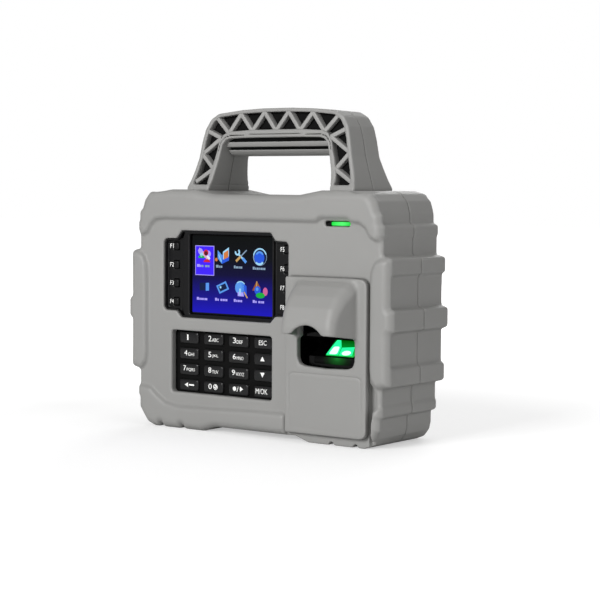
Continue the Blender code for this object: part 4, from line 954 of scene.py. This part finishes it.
for x in F_COLUMNS:
    for row in range(4):
        z = F_TOP - F_PITCH * row
        socket = rounded_box((x - 2.7, x + 2.7), (z - 2.9, z + 2.9), 0.8)
        frame_shape = cut(frame_shape, slab(block.front(socket), block.y, AHEAD, -10.0), 0.3)
bezel_mesh = block.skin(frame_shape, "display_frame", 0.5)
bezel_mesh.materials.append(satin_black)
piece("display_frame", bezel_mesh, "terminal", "black_plastic", "display_bezel")

window = bevelled(drawn(rounded_box((-58.9, 13.6), (80.2, 136.0), 1.2), -18.1, -16.1, "display_window"), 0.25)
window.materials.append(gloss_black)
piece("display_window", window, "terminal", "lens_glass", "display_lens")

SCREEN = ((-57.3, 12.8), (81.8, 134.6))
screen_blue = lit("screen_blue", ((0.0, (0.008, 0.005, 0.50)), (0.22, (0.006, 0.004, 0.24)),
                                  (0.50, (0.003, 0.002, 0.04)), (0.72, (0.002, 0.003, 0.006)),
                                  (1.0, (0.001, 0.002, 0.002))), 1.0,
                  SCREEN[1][0] * 0.001, SCREEN[1][1] * 0.001)
PICTURE_FACE = -18.12


def lit_shape(outline, finish, lift=0.0):
    """A film cut to an outline and laid on the screen, a little above the last one."""
    face = PICTURE_FACE - lift
    film = drawn(outline, face - 0.012, face + 0.012, "film")
    film.materials.append(finish)
    return film


def stroke(x0, z0, x1, z1, wide):
    """The outline of a straight stroke with square ends."""
    dx, dz = x1 - x0, z1 - z0
    span = math.hypot(dx, dz) / (wide / 2)
    nx, nz = -dz / span, dx / span
    return [(x0 + nx, z0 + nz), (x0 - nx, z0 - nz), (x1 - nx, z1 - nz), (x1 + nx, z1 + nz)]


def arc_band(x, z, outer, inner, start, end):
    """The outline of part of a ring, its angles in degrees."""
    start, end = math.radians(start), math.radians(end)
    return disc_outline(x, z, outer, outer, 20, start, end) + disc_outline(x, z, inner, inner, 20, end, start)


glow = {name: lit("glow_" + name, colour, 1.0) for name, colour in (
    ("violet", (0.055, 0.018, 0.98)), ("lilac", (0.42, 0.36, 0.98)), ("white", (0.80, 0.86, 0.95)),
    ("pink", (0.72, 0.40, 0.60)), ("red", (0.60, 0.02, 0.04)), ("dark_red", (0.10, 0.01, 0.02)),
    ("green", (0.01, 0.42, 0.05)), ("sky", (0.10, 0.32, 0.85)), ("blue", (0.02, 0.10, 0.72)),
    ("ice", (0.36, 0.68, 0.92)), ("orange", (0.68, 0.20, 0.05)), ("sand", (0.56, 0.34, 0.12)),
    ("brown", (0.30, 0.09, 0.02)), ("navy", (0.004, 0.012, 0.06)), ("rose", (0.62, 0.12, 0.32)),
    ("steel", (0.25, 0.36, 0.50)))}
films = [lit_shape(rounded_box(*SCREEN, 0.6), screen_blue)]
art = (     # layer, finish, outline
    (1, "lilac", [(-54.9, 107.5), (-37.9, 107.5), (-37.9, 128.0), (-54.9, 128.0)]),
    (2, "violet", [(-54.4, 108.0), (-38.4, 108.0), (-38.4, 127.5), (-54.4, 127.5)]),
    (3, "pink", stroke(-51.8, 125.4, -42.6, 118.8, 2.6)),
    (4, "lilac", disc_outline(-50.2, 124.0, 2.0)),
    (4, "lilac", disc_outline(-43.2, 122.4, 2.3)),
    (5, "red", disc_outline(-45.2, 123.2, 2.1)),
    (6, "dark_red", disc_outline(-45.2, 122.6, 1.5)),
    (6, "white", stroke(-44.2, 120.9, -41.8, 118.9, 1.6)),
    (5, "green", disc_outline(-49.4, 119.4, 2.9, 2.0, 24, 0.0, math.pi)),
    (5, "red", disc_outline(-44.4, 116.6, 3.0, 2.2, 24, 0.0, math.pi)),
    (5, "ice", disc_outline(-49.2, 121.6, 1.5)),
    (1, "sky", [(-34.8, 125.2), (-31.0, 121.8), (-31.0, 115.9), (-34.8, 119.6)]),
    (1, "blue", [(-31.0, 121.8), (-24.8, 125.0), (-24.8, 118.4), (-31.0, 115.9)]),
    (2, "ice", [(-30.2, 124.2), (-24.9, 127.4), (-24.9, 121.2), (-30.2, 118.8)]),
    (3, "orange", [(-29.4, 123.3), (-25.4, 125.6), (-25.4, 120.6), (-29.4, 118.9)]),
    (1, "orange", disc_outline(-36.0, 118.7, 1.2)),
    (2, "ice", stroke(-34.0, 122.2, -31.4, 117.4, 0.6)),
    (1, "ice", arc_band(-17.4, 124.2, 2.3, 1.0, -200, 60)),
    (1, "ice", stroke(-16.4, 122.8, -12.6, 119.8, 1.3)),
    (2, "steel", stroke(-9.4, 125.8, -15.0, 121.0, 0.8)),
    (2, "sand", stroke(-14.6, 121.4, -18.6, 118.0, 1.7)),
    (2, "sky", stroke(-12.8, 120.2, -9.8, 117.4, 2.0)),
    (1, "steel", disc_outline(2.1, 121.5, 5.9)),
    (2, "navy", disc_outline(2.3, 121.3, 5.3)),
    (3, "blue", disc_outline(1.6, 120.9, 4.3)),
    (4, "ice", arc_band(2.1, 121.5, 6.0, 5.0, 20, 170)),
    (4, "ice", arc_band(1.6, 120.6, 4.7, 3.3, 225, 320)),
    (4, "sky", arc_band(1.8, 121.6, 3.8, 2.5, 30, 150)),
    (1, "navy", [(-50.9, 97.0), (-46.0, 97.2), (-46.0, 102.4), (-50.9, 102.2)]),
    (1, "sky", [(-45.4, 96.9), (-42.5, 97.1), (-42.5, 102.5), (-45.4, 102.3)]),
    (1, "sky", [(-36.0, 100.7), (-27.6, 104.2), (-24.6, 98.8), (-33.0, 95.3)]),
    (2, "navy", [(-34.2, 100.2), (-28.1, 102.7), (-26.3, 99.3), (-32.4, 96.8)]),
    (3, "ice", disc_outline(-32.2, 99.8, 0.8)),
    (1, "sky", disc_outline(-15.2, 100.2, 4.1, 4.4)),
    (1, "blue", [(-13.6, 104.2), (-9.4, 101.4), (-9.2, 95.6), (-13.6, 94.6)]),
    (2, "ice", arc_band(-14.6, 99.8, 4.9, 4.2, 40, 130)),
    (2, "lilac", [(-17.0, 94.4), (-11.6, 94.3), (-12.4, 97.0), (-17.0, 97.3)]),
    (3, "sand", stroke(-11.6, 97.4, -8.6, 93.4, 1.0)),
    (2, "ice", stroke(-15.0, 99.6, -15.0, 95.0, 1.4)),
    (1, "brown", [(-4.4, 98.8), (-0.6, 105.4), (2.6, 100.8), (1.6, 98.4)]),
    (2, "sand", stroke(-0.4, 105.0, -0.8, 101.6, 0.8)),
    (3, "blue", disc_outline(0.2, 98.9, 2.7, 2.9)),
    (3, "rose", disc_outline(6.8, 98.3, 2.0, 2.8)),
    (4, "green", disc_outline(2.6, 95.6, 3.8, 1.9)),
    (4, "sky", disc_outline(-0.2, 99.8, 1.2)))
for layer, finish, outline in art:
    films.append(lit_shape(outline, glow[finish], 0.014 * layer))
# Captions, as rows of short bars
for left, z, marks in ((-53.3, 113.2, (2.6, 0.9, 1.6, 0.0, 2.2, 1.4)), (-36.2, 113.2, (2.2, 1.0, 1.6)),
                       (-20.4, 113.2, (1.4, 2.0, 1.0, 1.8)), (-4.0, 112.9, (1.6, 1.0, 1.8, 0.8, 2.0, 1.8)),
                       (-53.4, 90.4, (2.0, 1.2, 1.6, 1.0, 2.2)),
                       (-37.0, 90.5, (1.8, 1.2, 0.0, 1.6, 2.0, 1.8)), (-20.4, 90.4, (1.6, 1.0, 2.0, 1.6)),
                       (-3.9, 90.4, (1.8, 1.2, 0.0, 1.6, 1.0, 1.6))):
    for i, wide in enumerate(marks):
        if wide:
            tall = 1.9 if i == 0 else 1.4
            films.append(lit_shape([(left, z), (left + wide, z), (left + wide, z + tall), (left, z + tall)],
                                   glow["lilac" if z < 100 or left < -50 else "steel"], 0.05))
        left += wide + 0.35 if wide else 1.1
screen = merged(films, "display_picture")
piece("display_picture", screen, "terminal", "lens_glass", "display_module")

# ---- Function keys -----------------------------------------------------------------------
# Eight small black keys in the bezel's wings, four a side, each with a white printed label.
legend_white = moulded("legend_white", (0.86, 0.86, 0.84), 0.45, bump=0.000004, mottle=0.03, rub=0.0,
                       crease_shade=0.0)
# The print also glows faintly: painted light that lifts its white
legend_white.node_tree.nodes["Principled BSDF"].inputs["Emission Color"].default_value = (1.0, 1.0, 1.0, 1.0)
legend_white.node_tree.nodes["Principled BSDF"].inputs["Emission Strength"].default_value = 0.10


def legend(words, x, z, y):
    """Printed letters that fill the box x by z, standing a hair proud of the plane y."""
    letters = bpy.data.curves.new("legend", "FONT")
    letters.body = words
    letters.extrude = 0.02
    letters.resolution_u = 3
    holder = bpy.data.objects.new("legend", letters)
    scene.collection.objects.link(holder)
    mesh = bpy.data.meshes.new_from_object(holder.evaluated_get(bpy.context.evaluated_depsgraph_get()))
    bpy.data.objects.remove(holder)
    spots = np.array([v.co for v in mesh.vertices])
    low, high = spots.min(0), spots.max(0)
    for vertex in mesh.vertices:
        a, b, c = ((vertex.co[i] - low[i]) / (high[i] - low[i]) for i in range(3))
        vertex.co = (0.001 * (x[0] + a * (x[1] - x[0])), 0.001 * (y + 0.05 - 0.09 * c),
                     0.001 * (z[0] + b * (z[1] - z[0])))
    mesh.materials.clear()
    mesh.materials.append(legend_white)
    return mesh


def key_cap(x, z, across, up, front, back, corner, name):
    """A key's cap: a rounded bar with soft front edges and a slightly domed face."""
    rings = []
    for inset, y in ((0.0, back), (0.0, front + 0.7), (0.18, front + 0.28), (0.50, front + 0.06),
                     (1.0, front)):
        half_x, half_z = across / 2 - inset, up / 2 - inset
        outline = rounded_box((x - half_x, x + half_x), (z - half_z, z + half_z), corner, 3)
        rings.append([(a, y, b) for a, b in outline])
    return lofted(rings, name)


labels = []
for i in range(8):
    x, z = F_COLUMNS[i // 4], F_TOP - F_PITCH * (i % 4)
    cap = key_cap(x, z, 4.6, 5.0, -18.3, -13.6, 1.2, f"f{i + 1}_cap")
    cap.materials.append(satin_black)
    piece(f"f{i + 1}_cap", cap, f"f{i + 1}_key_cap", "key_rubber", f"f{i + 1}_key")
    edge = F_LABELS[i // 4]
    labels.append(legend(f"F{i + 1}", (edge, edge + 3.2), (z - 1.5, z + 1.5), -17.5))
piece("function_labels", merged(labels, "function_labels"), "terminal", "black_plastic")

# ---- Keypad ------------------------------------------------------------------------------
# Sixteen glossy dark keys on a black plate, with white digits, letters and arrows printed on them.
key_gloss = moulded("key_gloss", (0.0065, 0.0065, 0.007), 0.24, bump=0.00001, mottle=0.15, rub=0.04,
                    crease_shade=0.3, Specular_IOR_Level=0.4)
for holder in nodes["keypad_plate"].material_slots:
    holder.material = core_black
KEY_FRONT = -17.1
KEY_LEFT, KEY_TOP = -61.6, 63.4         # centre of the first key
KEY_PITCH = (22.2, 11.05)
keys = [
    ("key_1", (("1", -63.1, -61.9, 61.8, 65.6),)),
    ("key_2", (("2", -43.7, -41.0, 62.0, 65.8), ("ABC", -40.4, -34.7, 61.9, 64.2))),
    ("key_3", (("3", -21.9, -19.2, 62.0, 65.8), ("DEF", -18.6, -13.3, 61.9, 64.2))),
    ("key_esc", (("ESC", 0.7, 7.3, 62.0, 65.2),)),
    ("key_4", (("4", -65.6, -62.8, 51.0, 54.6), ("GHI", -62.2, -56.7, 50.8, 53.1))),
    ("key_5", (("5", -43.7, -41.1, 51.0, 54.7), ("JKL", -40.3, -34.9, 50.8, 53.1))),
    ("key_6", (("6", -21.9, -19.2, 51.0, 54.7), ("MNO", -18.6, -12.6, 50.8, 53.1))),
    ("key_up", ()),
    ("key_7", (("7", -66.5, -64.0, 40.2, 43.8), ("PQRS", -63.4, -55.9, 39.9, 42.2))),
    ("key_8", (("8", -43.7, -41.1, 40.2, 43.9), ("TUV", -40.3, -34.8, 39.9, 42.2))),
    ("key_9", (("9", -22.7, -20.0, 40.0, 43.7), ("WXYZ", -19.4, -12.0, 39.8, 42.1))),
    ("key_down", ()),
    ("key_back", ()),
    ("key_0", (("0", -43.6, -40.6, 28.9, 32.6),)),
    ("key_next", (("/", -18.5, -16.7, 28.9, 32.5),)),
    ("key_menu", (("M/OK", -1.9, 8.3, 28.8, 32.4),))]
drawn_marks = {
    "key_up": [[(2.0, 51.2), (5.7, 51.2), (3.85, 54.3)]],
    "key_down": [[(2.0, 43.4), (5.7, 43.4), (3.85, 40.1)]],
    "key_back": [[(-65.2, 30.5), (-62.2, 28.9), (-62.2, 32.1)], stroke(-61.4, 30.5, -56.6, 30.5, 1.0)],
    "key_0": [arc_band(-37.3, 30.6, 1.95, 1.5, 0, 359.9), stroke(-39.3, 30.9, -36.6, 29.6, 0.8),
              stroke(-37.4, 31.9, -36.2, 30.4, 0.8)],
    "key_next": [disc_outline(-20.4, 30.8, 1.5), [(-15.6, 29.0), (-12.9, 30.8), (-15.6, 32.6)]]}
for i, (name, words) in enumerate(keys):
    x, z = KEY_LEFT + KEY_PITCH[0] * (i % 4), KEY_TOP - KEY_PITCH[1] * (i // 4)
    cap = key_cap(x, z, 17.0, 7.8, KEY_FRONT, -12.7, 1.6, name + "_shell")
    cap.materials.append(key_gloss)
    piece(name + "_shell", cap, name + "_cap", "key_rubber", name)
    print_marks = [legend(text, (a, b), (c, d), KEY_FRONT) for text, a, b, c, d in words]
    for outline in drawn_marks.get(name, ()):
        mark = drawn(outline, KEY_FRONT - 0.04, KEY_FRONT + 0.05, "mark")
        mark.materials.append(legend_white)
        print_marks.append(mark)
    piece(name + "_legend", merged(print_marks, name + "_legend"), name + "_cap", "key_rubber")

# ---- Indicator bar -----------------------------------------------------------------------
# A narrow window near the top right: black at its left end, and a green light bar along the rest.
lamp_body = bevelled(drawn(rounded_box((58.8, 63.0), (143.6, 146.4), 0.5), -20.7, -18.2,
                           "indicator_sensor"), 0.2)
lamp_body.materials.append(gloss_black)
piece("indicator_sensor", lamp_body, "terminal", "lens_glass")
lamp_green = lit("lamp_green", ((0.0, (0.004, 0.25, 0.01)), (0.15, (0.02, 0.62, 0.05)),
                                (0.6, (0.10, 0.85, 0.16)), (1.0, (0.02, 0.5, 0.04))),
                 1.1, 0.0620, 0.0782, axis="X", base=(0.0, 0.15, 0.02))
lamp_bar = bevelled(drawn(rounded_box((63.2, 78.0), (143.8, 146.2), 0.7), -20.9, -18.2, "indicator_light"),
                    0.5)
lamp_bar.materials.append(lamp_green)
piece("indicator_light", lamp_bar, "terminal", "green_glass", "indicator_lens")

# ---- Rear fittings -----------------------------------------------------------------------
# A black rubber flap hinged along its lower edge covers the sockets, with a printed plug sign, and
# a round black button beside it carries a printed power sign.
def behind(outline, name):
    """A mark printed on the back face, as (x, z)."""
    mark = drawn(outline, BACK - 0.02, BACK + 0.03, name)
    mark.materials.append(legend_white)
    return mark


for holder in nodes["port_cover"].material_slots:
    holder.material = satin_black
plug_sign = [behind(rounded_box((-3.4, 2.6), (35.6, 40.4), 1.1), "plug_body"),
             behind(stroke(-9.6, 38.0, -3.4, 38.0, 0.7), "plug_cord"),
             behind(stroke(2.6, 36.7, 6.2, 36.7, 0.7), "plug_pin_1"),
             behind(stroke(2.6, 39.3, 6.2, 39.3, 0.7), "plug_pin_2")]
piece("port_cover_sign", merged(plug_sign, "port_cover_sign"), "port_flap", "black_plastic")

cap_rings = [[(x, y, z) for x, z in disc_outline(*POWER, reach, count=40)]
             for reach, y in ((4.9, 41.2), (4.9, 46.1), (4.6, 46.6), (4.0, 46.9), (3.2, 46.95))]
cap = lofted(cap_rings, "power_cap_shell")
cap.materials.append(satin_black)
piece("power_cap_shell", cap, "power_cap", "black_plastic", "power_button")
power_sign = [behind(arc_band(POWER[0], POWER[1], 2.1, 1.6, 125, 415), "power_ring"),
              behind(stroke(POWER[0], POWER[1] + 0.4, POWER[0], POWER[1] + 2.6, 0.55), "power_bar")]
piece("power_cap_sign", merged(power_sign, "power_cap_sign"), "power_cap", "black_plastic")

# ---- Inner parts -------------------------------------------------------------------------
# What little shows through the gaps and sockets: green circuit boards, the rubber seal, plated
# sockets, the speaker, the wrapped battery and the radio's can.
board_green = moulded("board_green", (0.010, 0.085, 0.030), 0.38, bump=0.00001, mottle=0.25, rub=0.0,
                      crease_shade=0.2)
battery_film = moulded("battery_film", (0.020, 0.045, 0.120), 0.30, bump=0.00001, mottle=0.1, rub=0.0,
                       crease_shade=0.1)
boards = ("function_board_left", "function_board_right", "keypad_board", "sensor_board", "main_board")
for finish, names in ((board_green, boards), (core_black, ("case_seal", "speaker")),
                      (battery_film, ("battery_pack",)),
                      (plated_steel, ("usb_socket", "charge_socket", "radio_module"))):
    for name in names:
        for holder in nodes[name].material_slots:
            holder.material = finish
